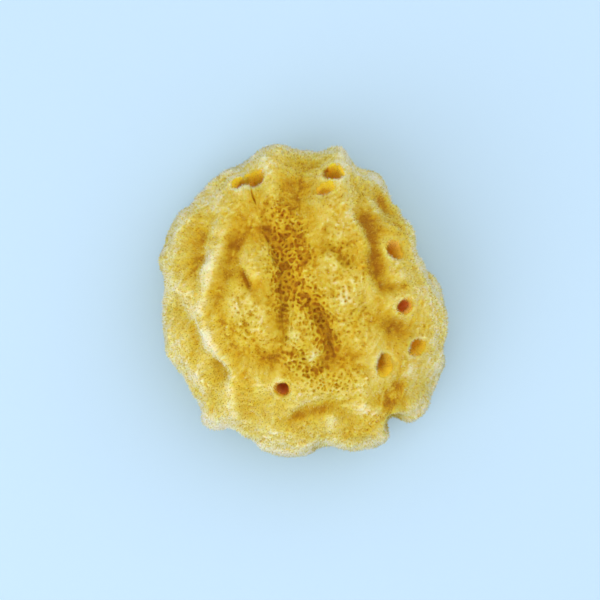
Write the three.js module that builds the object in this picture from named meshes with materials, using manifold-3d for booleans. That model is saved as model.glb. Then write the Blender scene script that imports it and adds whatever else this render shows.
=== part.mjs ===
// A natural bath sponge: the washed and dried skeleton of a sea sponge. It grew as one lump, with
// folds and furrows running over a rounded crown, and with oscula, the round mouths of its water
// canals. It was cut off its rock flat, and it rests on that cut.
//
// Millimetres, +Z up. The origin is on the cut, in the middle of the lump's box seen from above.

import * as THREE from "three";
import { ImprovedNoise } from "three/addons/math/ImprovedNoise.js";
import { mergeVertices } from "three/addons/utils/BufferGeometryUtils.js";
import Module from "manifold-3d";

// ---------------------------------------------------------------------------------------------
// Driving dimensions
// ---------------------------------------------------------------------------------------------

const CROWN_HEIGHT = 73; // from the cut to the crown, before folds are added
const GIRTH_HEIGHT = 28; // from the cut to the widest level
const UNDERSIDE_DEPTH = 46; // how far the underside would reach below that level if it weren't cut
const SQUARENESS = 2.25; // 2 is an ellipsoid; more fills out its shoulders
const LOBE_FADE = 2.2; // how fast the girth's lobes fade towards the crown and the underside
const AXIS = [2.1, 1.2]; // where the lump's growth axis stands, from the middle of its box

// How far the girth stands out from the axis, as [bearing in degrees from +X, radius]. The lobes
// show in it.
const GIRTH = [
  [-177, 65.8], [-166, 66.8], [-158, 67.2], [-148, 66.4], [-138, 68.4], [-130, 72.6],
  [-127, 73.2], [-118, 67.8], [-114, 68.4], [-107, 71.2], [-101, 72.2], [-95, 71.6],
  [-88, 69.8], [-82, 67.8], [-77, 68.4], [-70, 72.2], [-64, 73.8], [-60, 74.4],
  [-50, 74.0], [-45, 75.2], [-37, 72.2], [-30, 70.2], [-27, 70.4], [-18, 66.8],
  [-8, 64.2], [3, 59.8], [14, 56.2], [22, 53.6], [33, 57.2], [41, 58.0],
  [49, 58.4], [56, 62.2], [61, 64.2], [68, 63.4], [74, 70.8], [78, 73.2],
  [82, 70.4], [89, 67.8], [97, 69.8], [103, 72.4], [109, 70.8], [116, 69.6],
  [122, 70.6], [134, 69.4], [140, 69.2], [146, 70.8], [152, 70.2], [158, 68.8],
  [164, 70.2], [170, 67.2],
];

// A place on the flank, by its bearing in degrees from +X and its level above the cut.
const flank = (bearing, level) => ({ bearing, level });

// Long swellings and hollows. height is how far the middle stands out, or in if it is negative,
// width is how far from the middle it falls to about a third, and path is where it runs, as
// [x, y] over the crown, from the middle of the lump's box, or as places on the flank.
const FOLDS = [
  {
    name: "left fold",
    height: 2.8,
    width: 3.8,
    path: [[-30, 40], [-34, 32], [-38, 22], [-41, 11], [-43, 3], [-44, -4], [-43, -13], [-39, -20]],
  },
  { name: "left trough", height: -3.2, width: 5.5, path: [[-41, 38], [-47, 27], [-48, 14]] },
  { name: "left cross fold", height: 1.8, width: 4.5, path: [[-60, 9], [-50, 4]] },
  { name: "low left trough", height: -3.6, width: 4.8, path: [[-58, -3], [-52, -11], [-47, -18]] },
  {
    name: "low left fold",
    height: 3,
    width: 3.8,
    path: [[-39, -21], [-34, -25], [-30, -30], [-31, -37], [-31, -45], [-28, -53]],
  },
  { name: "left pocket", height: -6, width: 4.2, path: [[-40, -26], [-37, -32]] },
  { name: "pocket rim", height: 2, width: 3.4, path: [[-48, -27], [-46, -35], [-40, -37]] },
  { name: "small left hollow", height: -2.6, width: 3.4, path: [[-40, -42], [-38, -47]] },
  { name: "upper left hollow", height: -2.2, width: 4.6, path: [[-29, 30], [-32, 18], [-34, 8]] },
  { name: "slit", height: -3, width: 2.5, path: [[-27, 15], [-24, 8], [-22, 4]] },
  { name: "middle swelling", height: 2.6, width: 8, path: [[-20, 14], [-24, 0], [-22, -10]] },
  {
    name: "long furrow",
    height: -3.6,
    width: 3.8,
    path: [[-17, 36], [-11, 22], [-9, 10], [-9, -4], [-9, -16]],
  },
  { name: "long basin", height: -2.4, width: 8, path: [[-12, 36], [-7, 22], [-5, 8]] },
  { name: "middle fleck", height: 1.8, width: 4, path: [[-3, -6], [-2, -16]] },
  {
    name: "slanting furrow",
    height: -4,
    width: 3.9,
    path: [[2, 0], [6, -5], [10, -13], [12, -21], [10, -28]],
  },
  { name: "bright hump", height: 3.2, width: 8.5, path: [[16, 9], [17, -3]] },
  { name: "upper hump", height: 2.4, width: 7.5, path: [[9, 38], [14, 30]] },
  { name: "arch hollow", height: -2, width: 2.8, path: [[8, 22], [12, 24], [16, 20], [18, 15]] },
  {
    name: "right fold",
    height: 3,
    width: 3.6,
    path: [[14, 48], [18, 40], [23, 32], [24, 24], [26, 14], [28, 6], [29, -1]],
  },
  { name: "right furrow", height: -3.6, width: 5, path: [[25, 44], [28, 34], [30, 22], [31, 14], [33, 8]] },
  { name: "right shoulder", height: 2.2, width: 4.4, path: [[33, 36], [39, 31], [46, 22]] },
  { name: "far right hollow", height: -3.2, width: 6, path: [[32, 50], [39, 42]] },
  { name: "right crease", height: -1.8, width: 2.2, path: [[32, 7], [40, 6], [51, 9]] },
  { name: "right swelling", height: 2, width: 5, path: [[38, 13], [50, 1]] },
  { name: "right hollow", height: -3.4, width: 5.2, path: [[37, -9], [43, -14]] },
  { name: "low right swelling", height: 2.2, width: 7, path: [[22, -14], [26, -24], [22, -36]] },
  { name: "low right hollow", height: -3, width: 4.2, path: [[42, -35], [52, -41]] },
  { name: "low right knob", height: 2.2, width: 3.6, path: [[46, -29], [48, -38]] },
  { name: "left front hollow", height: -2.4, width: 4.4, path: [[-20, -22], [-14, -26]] },
  { name: "front shelf", height: 2.2, width: 5.5, path: [[-18, -36], [-6, -30], [4, -38]] },
  {
    name: "front recess",
    height: -3.6,
    width: 3.4,
    path: [[-7, -52], [1, -48], [11, -46], [18, -48], [19, -53]],
  },
  { name: "front bump", height: 2.6, width: 4.4, path: [[12, -53]] },
  { name: "front lip", height: 2, width: 4, path: [[23, -47], [34, -47]] },
  { name: "lip hollow", height: -2, width: 3.6, path: [[21, -59], [26, -60]] },
  { name: "far left fold", height: 1.8, width: 4.2, path: [[-17, 63], [-14, 54], [-14, 47], [-11, 41]] },
  { name: "far hollow", height: -3, width: 6.5, path: [[0, 62], [-4, 53], [-3, 45]] },
  { name: "far left shoulder", height: 2, width: 8, path: [[-34, 46], [-26, 46]] },
  { name: "chimney", height: 3.2, width: 6.5, path: [[14, 57]] },
  { name: "notch", height: -9.5, width: 3.7, path: [flank(-54.5, 50), flank(-57, 0)] },

  // Round the flanks, from the front to the left, under the girth and just over it.
  { name: "front keel", height: 3.4, width: 9, path: [flank(-98, 18), flank(-86, 8)] },
  { name: "front cleft", height: -4, width: 4.5, path: [flank(-76, 24), flank(-70, 4)] },
  { name: "front left cleft", height: -4, width: 4.6, path: [flank(-115, 33), flank(-109, 6)] },
  { name: "right front lobe", height: 3.6, width: 9, path: [flank(-38, 17), flank(-24, 8)] },
  { name: "right front band", height: -3.2, width: 5, path: [flank(-36, 38), flank(-14, 33)] },
  { name: "right cleft", height: -4, width: 5, path: [flank(-12, 26), flank(-18, 4)] },
  { name: "right lobe", height: 3.2, width: 8, path: [flank(4, 18), flank(16, 10)] },
  { name: "right back cleft", height: -3.6, width: 5, path: [flank(24, 36), flank(32, 8)] },
  { name: "right back lobe", height: 3.8, width: 10, path: [flank(58, 18), flank(68, 8)] },
  { name: "back right cleft", height: -3.6, width: 4.6, path: [flank(70, 38), flank(84, 6)] },
  { name: "back lobe", height: 3.4, width: 9, path: [flank(100, 17), flank(112, 10)] },
  { name: "back band", height: -3.4, width: 5, path: [flank(112, 38), flank(134, 28)] },
  { name: "back left cleft", height: -3.8, width: 5, path: [flank(134, 30), flank(128, 5)] },
  { name: "left back lobe", height: 3.6, width: 9, path: [flank(150, 18), flank(162, 9)] },
  { name: "left cleft", height: -4, width: 5, path: [flank(172, 34), flank(178, 5)] },
  { name: "left lobe", height: 3.4, width: 9, path: [flank(-168, 20), flank(-158, 10)] },
  { name: "left front cleft", height: -3.8, width: 4.6, path: [flank(-146, 36), flank(-140, 6)] },
  { name: "left front lobe", height: 3, width: 8, path: [flank(-128, 18), flank(-124, 8)] },
];

// The mouths of the canals. radius is the mouth's, stretch widens it along the way it is turned,
// and upright tips its canal from square to the lump's middle, at 0, to straight up, at 1.
const OSCULA = [
  { name: "far left, large", at: [-21.2, 53.4], radius: 4.2, depth: 14, upright: 0.3 },
  { name: "far left, small", at: [-27.4, 50.9], radius: 3.1, depth: 8, upright: 0.3 },
  { name: "chimney", at: [12.6, 55.4], radius: 4.1, depth: 17, upright: 0.4 },
  { name: "below the chimney", at: [9.1, 49], radius: 2.7, depth: 5, stretch: 1.3, upright: 0.2 },
  { name: "right, high", at: [39.8, 22.6], radius: 3.7, depth: 12, stretch: 1.2, turn: -30, upright: 0.2 },
  { name: "right, middle", at: [43.2, -1.9], radius: 3.1, depth: 13, stretch: 1.1, turn: 30, upright: 0.5 },
  { name: "right, low", at: [50.2, -20], radius: 3.2, depth: 11, stretch: 1.3, turn: 25, upright: 0.3 },
  { name: "right, long", at: [34.2, -26.7], radius: 3.7, depth: 14, stretch: 1.4, turn: 100, upright: 0.2 },
  { name: "front", at: [-8.9, -37], radius: 3, depth: 17, upright: 0.7 },
  { name: "front flank", at: flank(-84, 27), radius: 3.8, depth: 12, upright: 0.1 },
  { name: "right flank", at: flank(-4, 21), radius: 3.6, depth: 12, upright: 0.1 },
  { name: "right back flank", at: flank(50, 35), radius: 4, depth: 13, upright: 0.1 },
  { name: "back flank", at: flank(94, 30), radius: 3.9, depth: 13, upright: 0.1 },
  { name: "back flank, low", at: flank(117, 17), radius: 3, depth: 10, upright: 0 },
  { name: "left back flank", at: flank(158, 31), radius: 3.9, depth: 12, upright: 0.1 },
  { name: "left flank", at: flank(-153, 22), radius: 3.5, depth: 12, upright: 0.1 },
];
const LIP_HEIGHT = 1.1; // how far the skin swells round each mouth
const LIP_WIDTH = 2;
const MOUTH_SIDES = 12;

// Irregular growth on top of all that, as [wavelength, height]. It fades to a share of itself at
// the girth, whose lobes are already drawn.
const GROWTH_NOISE = [
  [30, 2.6],
  [14, 1.7],
  [8, 0.8],
];
const GIRTH_NOISE_SHARE = 0.3;
const GIRTH_BAND = 13; // how far above and below the girth that fade reaches

const FACE_SPLITS = 19; // splits of each edge of the icosahedron that the lump starts from
const CROWN_PULL = 0.35; // how far its corners are drawn towards the crown, where the folds are

// ---------------------------------------------------------------------------------------------
// The lump before its folds
// ---------------------------------------------------------------------------------------------

const degrees = THREE.MathUtils.degToRad;
const smoothstep = THREE.MathUtils.smoothstep;

const meanGirth = GIRTH.reduce((sum, [, radius]) => sum + radius, 0) / GIRTH.length;
const girthTurns = [-360, 0, 360].flatMap((turn) => GIRTH.map(([at, radius]) => [at + turn, radius]));
const girthCurve = new THREE.CubicInterpolant(
  girthTurns.map(([at]) => at),
  girthTurns.map(([, radius]) => radius),
  1,
);

// The girth's radius at a bearing in radians.
function girthRadius(bearing) {
  return girthCurve.evaluate(THREE.MathUtils.radToDeg(bearing))[0];
}

// How far the plain lump reaches from its growth centre along a unit direction.
function plainReach(direction) {
  const across = Math.hypot(direction.x, direction.y);
  const girth = girthRadius(Math.atan2(direction.y, direction.x));
  const radius = THREE.MathUtils.lerp(meanGirth, girth, across ** LOBE_FADE);
  const height = direction.z > 0 ? CROWN_HEIGHT - GIRTH_HEIGHT : UNDERSIDE_DEPTH;
  const sum = (across / radius) ** SQUARENESS + (Math.abs(direction.z) / height) ** SQUARENESS;
  return sum ** (-1 / SQUARENESS);
}

// Moves a place straight out from the growth centre, or in, until it is on the plain lump.
function settle(place) {
  place.normalize();
  return place.multiplyScalar(plainReach(place));
}

const PLACING_ROUNDS = 24;

// The place on the plain lump, from its growth centre, over [x, y] or at a place on the flank.
function onPlainLump(at) {
  if (!Array.isArray(at)) {
    const bearing = degrees(at.bearing);
    const radius = girthRadius(bearing);
    const [x, y] = [radius * Math.cos(bearing), radius * Math.sin(bearing)];
    return settle(new THREE.Vector3(x, y, at.level - GIRTH_HEIGHT));
  }
  const [x, y] = [at[0] - AXIS[0], at[1] - AXIS[1]];
  const place = new THREE.Vector3(x, y, CROWN_HEIGHT - GIRTH_HEIGHT);
  for (let round = 0; round < PLACING_ROUNDS; round++) settle(place.set(x, y, place.z));
  return place;
}

// ---------------------------------------------------------------------------------------------
// Folds, furrows, lips and growth noise
// ---------------------------------------------------------------------------------------------

const STEP = 1.5; // between the points that stand for a fold's path
const ENDS = 0.18; // the share of a path over which it fades in or out

// The points of a fold's path, each with the share of the full height that it has there.
function pathPoints({ path }) {
  const corners = path.map(onPlainLump);
  if (corners.length === 1) return [{ point: corners[0], share: 1 }];
  const curve = new THREE.CatmullRomCurve3(corners);
  const steps = Math.ceil(curve.getLength() / STEP);
  return curve.getSpacedPoints(steps).map((point, i) => {
    const along = i / steps;
    const share = smoothstep(along, -ENDS, ENDS) * (1 - smoothstep(along, 1 - ENDS, 1 + ENDS));
    return { point: settle(point), share };
  });
}

const folds = FOLDS.map((fold) => ({ ...fold, points: pathPoints(fold) }));

function foldHeight(place) {
  return folds.reduce((sum, { height, width, points }) => {
    const strongest = points.reduce((most, { point, share }) => {
      const distance = point.distanceTo(place) / width;
      return Math.max(most, share * Math.exp(-distance * distance));
    }, 0);
    return sum + height * strongest;
  }, 0);
}

const oscula = OSCULA.map((osculum) => ({ ...osculum, centre: onPlainLump(osculum.at) }));

function lipHeight(place) {
  return oscula.reduce((sum, { centre, radius }) => {
    const offset = (centre.distanceTo(place) - radius) / LIP_WIDTH;
    return sum + LIP_HEIGHT * Math.exp(-offset * offset);
  }, 0);
}

const noise = new ImprovedNoise();

function growthHeight(place) {
  const clear = smoothstep(Math.abs(place.z), 0, GIRTH_BAND);
  const share = THREE.MathUtils.lerp(GIRTH_NOISE_SHARE, 1, clear);
  return GROWTH_NOISE.reduce((sum, [wavelength, height]) => {
    const { x, y, z } = place.clone().divideScalar(wavelength);
    return sum + share * height * noise.noise(x + 11.3, y + 4.7, z + 7.9);
  }, 0);
}

function reach(direction) {
  const place = settle(direction.clone());
  return place.length() + foldHeight(place) + lipHeight(place) + growthHeight(place);
}

// ---------------------------------------------------------------------------------------------
// The solid
// ---------------------------------------------------------------------------------------------

const wasm = await Module();
wasm.setup();

function solidFrom(geometry) {
  const bare = geometry.clone();
  bare.deleteAttribute("normal");
  bare.deleteAttribute("uv");
  const merged = mergeVertices(bare, 1e-4);
  return new wasm.Manifold(
    new wasm.Mesh({
      numProp: 3,
      vertProperties: merged.attributes.position.array,
      triVerts: new Uint32Array(merged.index.array),
    }),
  );
}

function geometryFrom(solid) {
  const { vertProperties, triVerts } = solid.getMesh();
  const geometry = new THREE.BufferGeometry();
  geometry.setAttribute("position", new THREE.BufferAttribute(vertProperties, 3));
  geometry.setIndex(new THREE.BufferAttribute(triVerts, 1));
  return geometry;
}

function lumpGeometry() {
  const geometry = new THREE.IcosahedronGeometry(1, FACE_SPLITS);
  const places = geometry.attributes.position;
  const direction = new THREE.Vector3();
  for (let i = 0; i < places.count; i++) {
    direction.fromBufferAttribute(places, i).normalize();
    direction.z += CROWN_PULL;
    direction.normalize();
    const place = direction.multiplyScalar(reach(direction));
    places.setXYZ(i, place.x, place.y, place.z + GIRTH_HEIGHT);
  }
  return geometry;
}

// The water canal behind a mouth: a flared, round-ended plug, standing along +Z with its mouth at
// the origin, then turned to face out of the lump.
function canalGeometry({ centre, radius, depth, stretch = 1, turn = 0, upright }) {
  const clear = 9; // how far the plug stands out of the mouth
  const profile = [
    [0, -depth],
    [radius * 0.6, -depth * 0.92],
    [radius * 0.85, -depth * 0.6],
    [radius, 0],
    [radius * 1.25, clear],
    [0, clear],
  ].map(([x, y]) => new THREE.Vector2(x, y));
  const up = new THREE.Vector3(0, 0, 1);
  const direction = centre.clone().normalize();
  const mouth = direction.clone().multiplyScalar(reach(direction) - LIP_HEIGHT / 2);
  const outward = direction.lerp(up, upright).normalize();
  return new THREE.LatheGeometry(profile, MOUTH_SIDES)
    .rotateX(Math.PI / 2)
    .scale(stretch, 1 / Math.sqrt(stretch), 1)
    .rotateZ(degrees(turn))
    .applyQuaternion(new THREE.Quaternion().setFromUnitVectors(up, outward))
    .translate(mouth.x, mouth.y, mouth.z + GIRTH_HEIGHT);
}

function belowTheCut() {
  const side = 4 * meanGirth;
  return new THREE.BoxGeometry(side, side, side).translate(0, 0, -side / 2);
}

function spongeGeometry() {
  const canals = oscula.map((osculum) => solidFrom(canalGeometry(osculum)));
  let solid = solidFrom(lumpGeometry()).subtract(solidFrom(belowTheCut()));
  for (const canal of canals) solid = solid.subtract(canal);
  const geometry = geometryFrom(solid);
  geometry.computeBoundingBox();
  const middle = geometry.boundingBox.getCenter(new THREE.Vector3());
  return geometry.translate(-middle.x, -middle.y, 0);
}

// ---------------------------------------------------------------------------------------------
// The model
// ---------------------------------------------------------------------------------------------

function driedSpongin() {
  return new THREE.MeshStandardMaterial({
    color: 0xdcb84a,
    roughness: 0.95,
    metalness: 0,
    flatShading: true,
  });
}

function sponge() {
  const mesh = new THREE.Mesh(spongeGeometry(), driedSpongin());
  mesh.name = "sponge";
  return mesh;
}

const model = new THREE.Group();
model.add(sponge());

export default model;
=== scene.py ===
"""A natural bath sponge: the washed and dried skeleton of a sea sponge, resting on its cut.

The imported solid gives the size, the folds and the water canals. The pieces made here stand for it:
the body, a fine closed skin with its pores sunk in it, and the nap, tufts of spongin fibre that
stand all over it and fringe the mouths of the canals. The classes work in millimetres, and the
finished meshes are in metres.
"""

import logging
import math
from collections.abc import Sequence
from dataclasses import dataclass, field
from enum import Enum
from functools import cached_property

import bmesh
import bpy
import numpy as np
from mathutils import Matrix, Vector, kdtree, noise
from mathutils.bvhtree import BVHTree

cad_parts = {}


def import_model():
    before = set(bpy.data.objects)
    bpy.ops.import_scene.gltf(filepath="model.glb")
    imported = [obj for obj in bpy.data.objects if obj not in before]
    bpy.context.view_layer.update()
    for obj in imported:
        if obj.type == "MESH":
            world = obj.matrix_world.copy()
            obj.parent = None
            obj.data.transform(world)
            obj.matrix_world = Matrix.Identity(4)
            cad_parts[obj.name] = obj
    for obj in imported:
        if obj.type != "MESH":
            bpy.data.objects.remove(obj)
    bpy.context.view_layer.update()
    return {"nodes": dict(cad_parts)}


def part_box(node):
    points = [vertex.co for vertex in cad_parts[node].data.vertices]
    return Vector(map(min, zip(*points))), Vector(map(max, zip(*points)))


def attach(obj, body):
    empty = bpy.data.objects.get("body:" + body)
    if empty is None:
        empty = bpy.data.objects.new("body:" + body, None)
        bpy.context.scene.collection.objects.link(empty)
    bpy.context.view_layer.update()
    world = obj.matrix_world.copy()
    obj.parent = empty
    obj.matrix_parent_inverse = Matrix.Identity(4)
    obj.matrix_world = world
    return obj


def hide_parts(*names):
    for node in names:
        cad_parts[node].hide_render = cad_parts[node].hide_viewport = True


MM = 0.001
MERGE_GAP = 0.01 * MM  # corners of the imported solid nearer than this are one
UP = np.array([0.0, 0.0, 1.0])
UV_MAP = "OFBake"
TONE = "tone"
CANAL = "canal"
NAP_SEED, FRINGE_SEED, HOLE_SEED = 21, 22, 23
FADED = 3  # how many spreads away a bell-shaped fall has come to nothing

Colour = tuple[float, float, float, float]
Place = tuple[float, float]
Pair = tuple[float, float]

log = logging.getLogger("bath sponge")


# -------------------------------------------------------------------------------------------------
# Helpers for nodes, objects, arrays and noise
# -------------------------------------------------------------------------------------------------


def linear(hex_colour: str) -> Colour:
    """Turns an sRGB colour to the linear one that shaders take.

    Args:
        hex_colour: The colour as "#rrggbb".

    Returns:
        Linear red, green, blue and an alpha of 1.
    """
    parts = [int(hex_colour[i : i + 2], 16) / 255 for i in (1, 3, 5)]
    low, high = ([p / 12.92 for p in parts], [((p + 0.055) / 1.055) ** 2.4 for p in parts])
    red, green, blue = (lo if p <= 0.04045 else hi for p, lo, hi in zip(parts, low, high))
    return (red, green, blue, 1.0)


def add_node(
    tree: bpy.types.NodeTree,
    kind: str,
    settings: dict[str, object] | None = None,
    sockets: dict[str | int, object] | None = None,
    stops: list[tuple[float, str]] | None = None,
) -> bpy.types.Node:
    """Adds a node with its settings, its values and its links.

    Args:
        tree: The node tree.
        kind: The node's type, such as "ShaderNodeMix".
        settings: Values for the node's own properties.
        sockets: A value, or an output socket to link, for each input by name or number.
        stops: Positions and sRGB colours of a colour ramp.

    Returns:
        The node.
    """
    node = tree.nodes.new(kind)
    for name, value in (settings or {}).items():
        setattr(node, name, value)
    for name, value in (sockets or {}).items():
        if isinstance(value, bpy.types.NodeSocket):
            tree.links.new(value, node.inputs[name])
        else:
            node.inputs[name].default_value = value
    for i, (position, colour) in enumerate(stops or []):
        elements = node.color_ramp.elements
        element = elements[i] if i < 2 else elements.new(position)
        element.position, element.color = position, linear(colour)
    return node


def bare_material(name: str) -> tuple[bpy.types.Material, bpy.types.NodeTree]:
    """Makes a material that has no nodes yet.

    Args:
        name: What the real material is called.

    Returns:
        The material and its node tree.
    """
    material = bpy.data.materials.new(name)
    material.use_nodes = True
    material.node_tree.nodes.clear()
    return material, material.node_tree


def add_object(name: str, data: bpy.types.ID) -> bpy.types.Object:
    """Puts a mesh, a light or a camera into the scene as an object at the origin.

    Args:
        name: The object's name.
        data: The mesh, light or camera.

    Returns:
        The object.
    """
    thing = bpy.data.objects.new(name, data)
    bpy.context.scene.collection.objects.link(thing)
    return thing


def read(
    items: bpy.types.bpy_prop_collection, name: str, width: int = 1, kind: type = float
) -> np.ndarray:
    """Reads one property of all the vertices, edges, faces or corners of a mesh.

    Args:
        items: The vertices, edges, faces or corners.
        name: The property's name.
        width: How many numbers each item has.
        kind: The type of the numbers.

    Returns:
        A number for each item, or a row of them where the width is more than 1.
    """
    values = np.zeros(len(items) * width, kind)
    items.foreach_get(name, values)
    return values.reshape(-1, width) if width > 1 else values


def sorted_tree(points: Sequence) -> kdtree.KDTree:
    """Sorts points for finding the nearest of them, each under its own number.

    Args:
        points: The points.

    Returns:
        The tree of them.
    """
    tree = kdtree.KDTree(len(points))
    for i, point in enumerate(points):
        tree.insert(point, i)
    tree.balance()
    return tree


def unit(vectors: np.ndarray) -> np.ndarray:
    """Scales each vector in an array to length 1."""
    return vectors / np.maximum(np.linalg.norm(vectors, axis=-1, keepdims=True), 1e-12)


def dot(first: np.ndarray, second: np.ndarray) -> np.ndarray:
    """The product of each vector with the one in the same row."""
    return np.einsum("ij,ij->i", first, second)


def across(normals: np.ndarray) -> tuple[np.ndarray, np.ndarray]:
    """Finds two directions square to each normal and to each other.

    Args:
        normals: Unit vectors.

    Returns:
        The two arrays of unit vectors.
    """
    helper = np.where(np.abs(normals[:, 2:]) < 0.9, UP, np.array([1.0, 0.0, 0.0]))
    first = unit(np.cross(helper, normals))
    return first, np.cross(normals, first)


def smoothstep(values: np.ndarray, start: float, end: float) -> np.ndarray:
    """Goes smoothly from 0 at start to 1 at end."""
    share = np.clip((values - start) / (end - start), 0, 1)
    return share * share * (3 - 2 * share)


def bell(gaps: np.ndarray, spread: float) -> np.ndarray:
    """Falls from 1 at a gap of nothing to about a third at the spread."""
    return np.exp(-((gaps / spread) ** 2))


def varied(draws: np.random.Generator, vary: Pair, shape: int | tuple[int, ...]) -> np.ndarray:
    """Draws numbers that are the first of the pair, and up to the second more."""
    least, more = vary
    return least + more * draws.random(shape)


def thinned(points: np.ndarray, spacing: np.ndarray) -> np.ndarray:
    """Keeps points, in their order, that no kept point is too close to.

    Args:
        points: Places, in millimetres.
        spacing: How far each place keeps the others off.

    Returns:
        The numbers of the points that are kept.
    """
    tree = sorted_tree(points)
    free = np.ones(len(points), bool)
    for i, (point, reach) in enumerate(zip(points, spacing)):
        if free[i]:
            near = [j for _, j, _ in tree.find_range(point, reach) if j > i]
            free[near] = False
    return np.flatnonzero(free)


class Patch(Enum):
    """Where in the noise each pattern is read, so that no two are alike."""

    GROWTH = 7.3
    BROAD_MOTTLE = 3.1
    SMALL_MOTTLE = 9.2
    STREAKS = 31.7
    STRANDS = 5.5
    DRIFT = 17.0


def wandering(points: np.ndarray, wavelength: float, patch: Patch, more: float = 0) -> np.ndarray:
    """Smooth noise at some points.

    Args:
        points: The points.
        wavelength: How far apart its swells are, in millimetres.
        patch: Which pattern it is for.
        more: How much further on in the noise it is read, for one of several of a kind.

    Returns:
        From about -1 to 1 at each point.
    """
    places = points / wavelength + (patch.value + more)
    return np.array([noise.noise(place) for place in places.tolist()])


def drifted(points: np.ndarray, drift: Pair) -> np.ndarray:
    """Points moved about smoothly, so that what is drawn over them wavers as grown things do.

    Args:
        points: The points.
        drift: The wavelength of the moves, and about how far they go.

    Returns:
        The moved points.
    """
    wavelength, distance = drift
    apart = 5.3
    shifts = [wandering(points, wavelength, Patch.DRIFT, apart * i) for i in range(3)]
    return points + distance * np.stack(shifts, axis=1)


def streaks(points: np.ndarray, ways: np.ndarray, width: float, length: float) -> np.ndarray:
    """Streaks of fibre from about -1 to 1.

    Args:
        points: The points.
        ways: Which way the streaks run at each point, with a length up to 1.
        width: How far apart they are, in millimetres.
        length: How long they are where the way's length is 1.

    Returns:
        The value at each point.
    """
    boldness, steps = 2.2, np.linspace(-0.5, 0.5, 7)
    rows = [wandering(points + length * step * ways, width, Patch.STREAKS) for step in steps]
    return boldness * np.mean(rows, axis=0)


def strands(points: np.ndarray, mesh_size: float) -> np.ndarray:
    """Draws a net of strands.

    Args:
        points: The points.
        mesh_size: About how far apart the strands are, in millimetres.

    Returns:
        From 0 in the gaps to 1 along the strands, at each point.
    """
    drift, swells, strand, gap = (1.5, 0.3), 1.6, 0.1, 0.42
    lines = np.abs(wandering(drifted(points, drift), swells * mesh_size, Patch.STRANDS))
    return 1 - smoothstep(lines, strand, gap)


def nearness(points: np.ndarray, line: np.ndarray, spread: float) -> np.ndarray:
    """How near each point is to a line of points that fades out at its ends.

    Args:
        points: The points.
        line: The line's points.
        spread: How far from the line the result falls to about a third.

    Returns:
        From 0, far away, to 1, on the middle of the line.
    """
    at_ends, whole_from = -0.12, 0.3  # as shares of its length
    low, high = line.min(0) - FADED * spread, line.max(0) + FADED * spread
    near = np.flatnonzero(np.all((points > low) & (points < high), axis=1))
    strength = np.ones(len(line))
    if len(line) > 2:
        along = np.linspace(0, 1, len(line))
        strength = smoothstep(np.minimum(along, 1 - along), at_ends, whole_from)
    gaps = np.linalg.norm(points[near, None, :] - line[None, :, :], axis=2)
    result = np.zeros(len(points))
    result[near] = (strength * bell(gaps, spread)).max(1)
    return result


# -------------------------------------------------------------------------------------------------
# Finishes
# -------------------------------------------------------------------------------------------------

# Spongin by its tone, from brown through ochre and straw to cream. The tone is partly the bleaching
# by sun and water
# and partly painted light: the brown where the skin is hidden and the ochre in the hollows are
# partly painted shade, and the cream along the crests partly painted highlight.
SPONGIN_TONES = [
    (0.00, "#a8681a"),
    (0.10, "#b97a1a"),
    (0.20, "#ca961c"),
    (0.32, "#d8b128"),
    (0.46, "#dfc546"),
    (0.62, "#e6d46a"),
    (0.80, "#f2e8b0"),
    (1.00, "#fbf6e0"),
]
# The lining of the canals, which the sun doesn't bleach: partly its own warmer colour, partly
# painted light, bright and warm to stand for light that filters through the net, so that in the
# canals' shade the first looks red-brown, and the second honey.
LINING_TONES = [(0.00, "#ffb86c"), (0.25, "#fad23c")]
LEAST_TONE = 0.10  # the darkest tone that the open skin and its nap are given
SPONGIN_IOR = 1.54  # that of keratin, which spongin is close to


@dataclass(frozen=True)
class Spongin:
    """Spongin, the horny stuff of a sponge's skeleton, dried: what its finishes share.

    Attributes:
        roughness: How matt it is.
        gloss: How much light its face throws back.
        glow: How much of the light wanders about inside it.
        glow_radii: How far red, green and blue wander, as shares of glow_mm.
        glow_mm: How far the light wanders.
    """

    roughness: float = 0.9
    gloss: float = 0.06
    glow: float = 0.9
    glow_radii: tuple[float, float, float] = (1.0, 0.55, 0.12)
    glow_mm: float = 10.0

    def toned(
        self, tree: bpy.types.NodeTree, tone: bpy.types.NodeSocket, shade: bpy.types.NodeSocket
    ) -> bpy.types.NodeSocket:
        """Adds the nodes that turn a tone to its colour.

        Args:
            tree: The material's node tree.
            tone: The tone's socket.
            shade: The socket of what makes it lighter or darker.

        Returns:
            The colour's socket.
        """
        both = add_node(tree, "ShaderNodeMath", {"operation": "ADD"}, {0: shade, 1: tone})
        fac = {"Fac": both.outputs[0]}
        return add_node(tree, "ShaderNodeValToRGB", None, fac, SPONGIN_TONES).outputs["Color"]

    def dress(
        self,
        tree: bpy.types.NodeTree,
        colour: bpy.types.NodeSocket,
        more: dict[str | int, object] | None = None,
    ) -> None:
        """Adds the shader and the output.

        Args:
            tree: The material's node tree.
            colour: The colour's socket.
            more: More of the shader's inputs.
        """
        sockets = {
            "Base Color": colour,
            "Roughness": self.roughness,
            "IOR": SPONGIN_IOR,
            "Specular IOR Level": self.gloss,
            "Subsurface Weight": self.glow,
            "Subsurface Radius": self.glow_radii,
            "Subsurface Scale": self.glow_mm * MM,
        }
        shader = add_node(tree, "ShaderNodeBsdfPrincipled", sockets=sockets | (more or {}))
        add_node(tree, "ShaderNodeOutputMaterial", sockets={"Surface": shader.outputs[0]})


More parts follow.
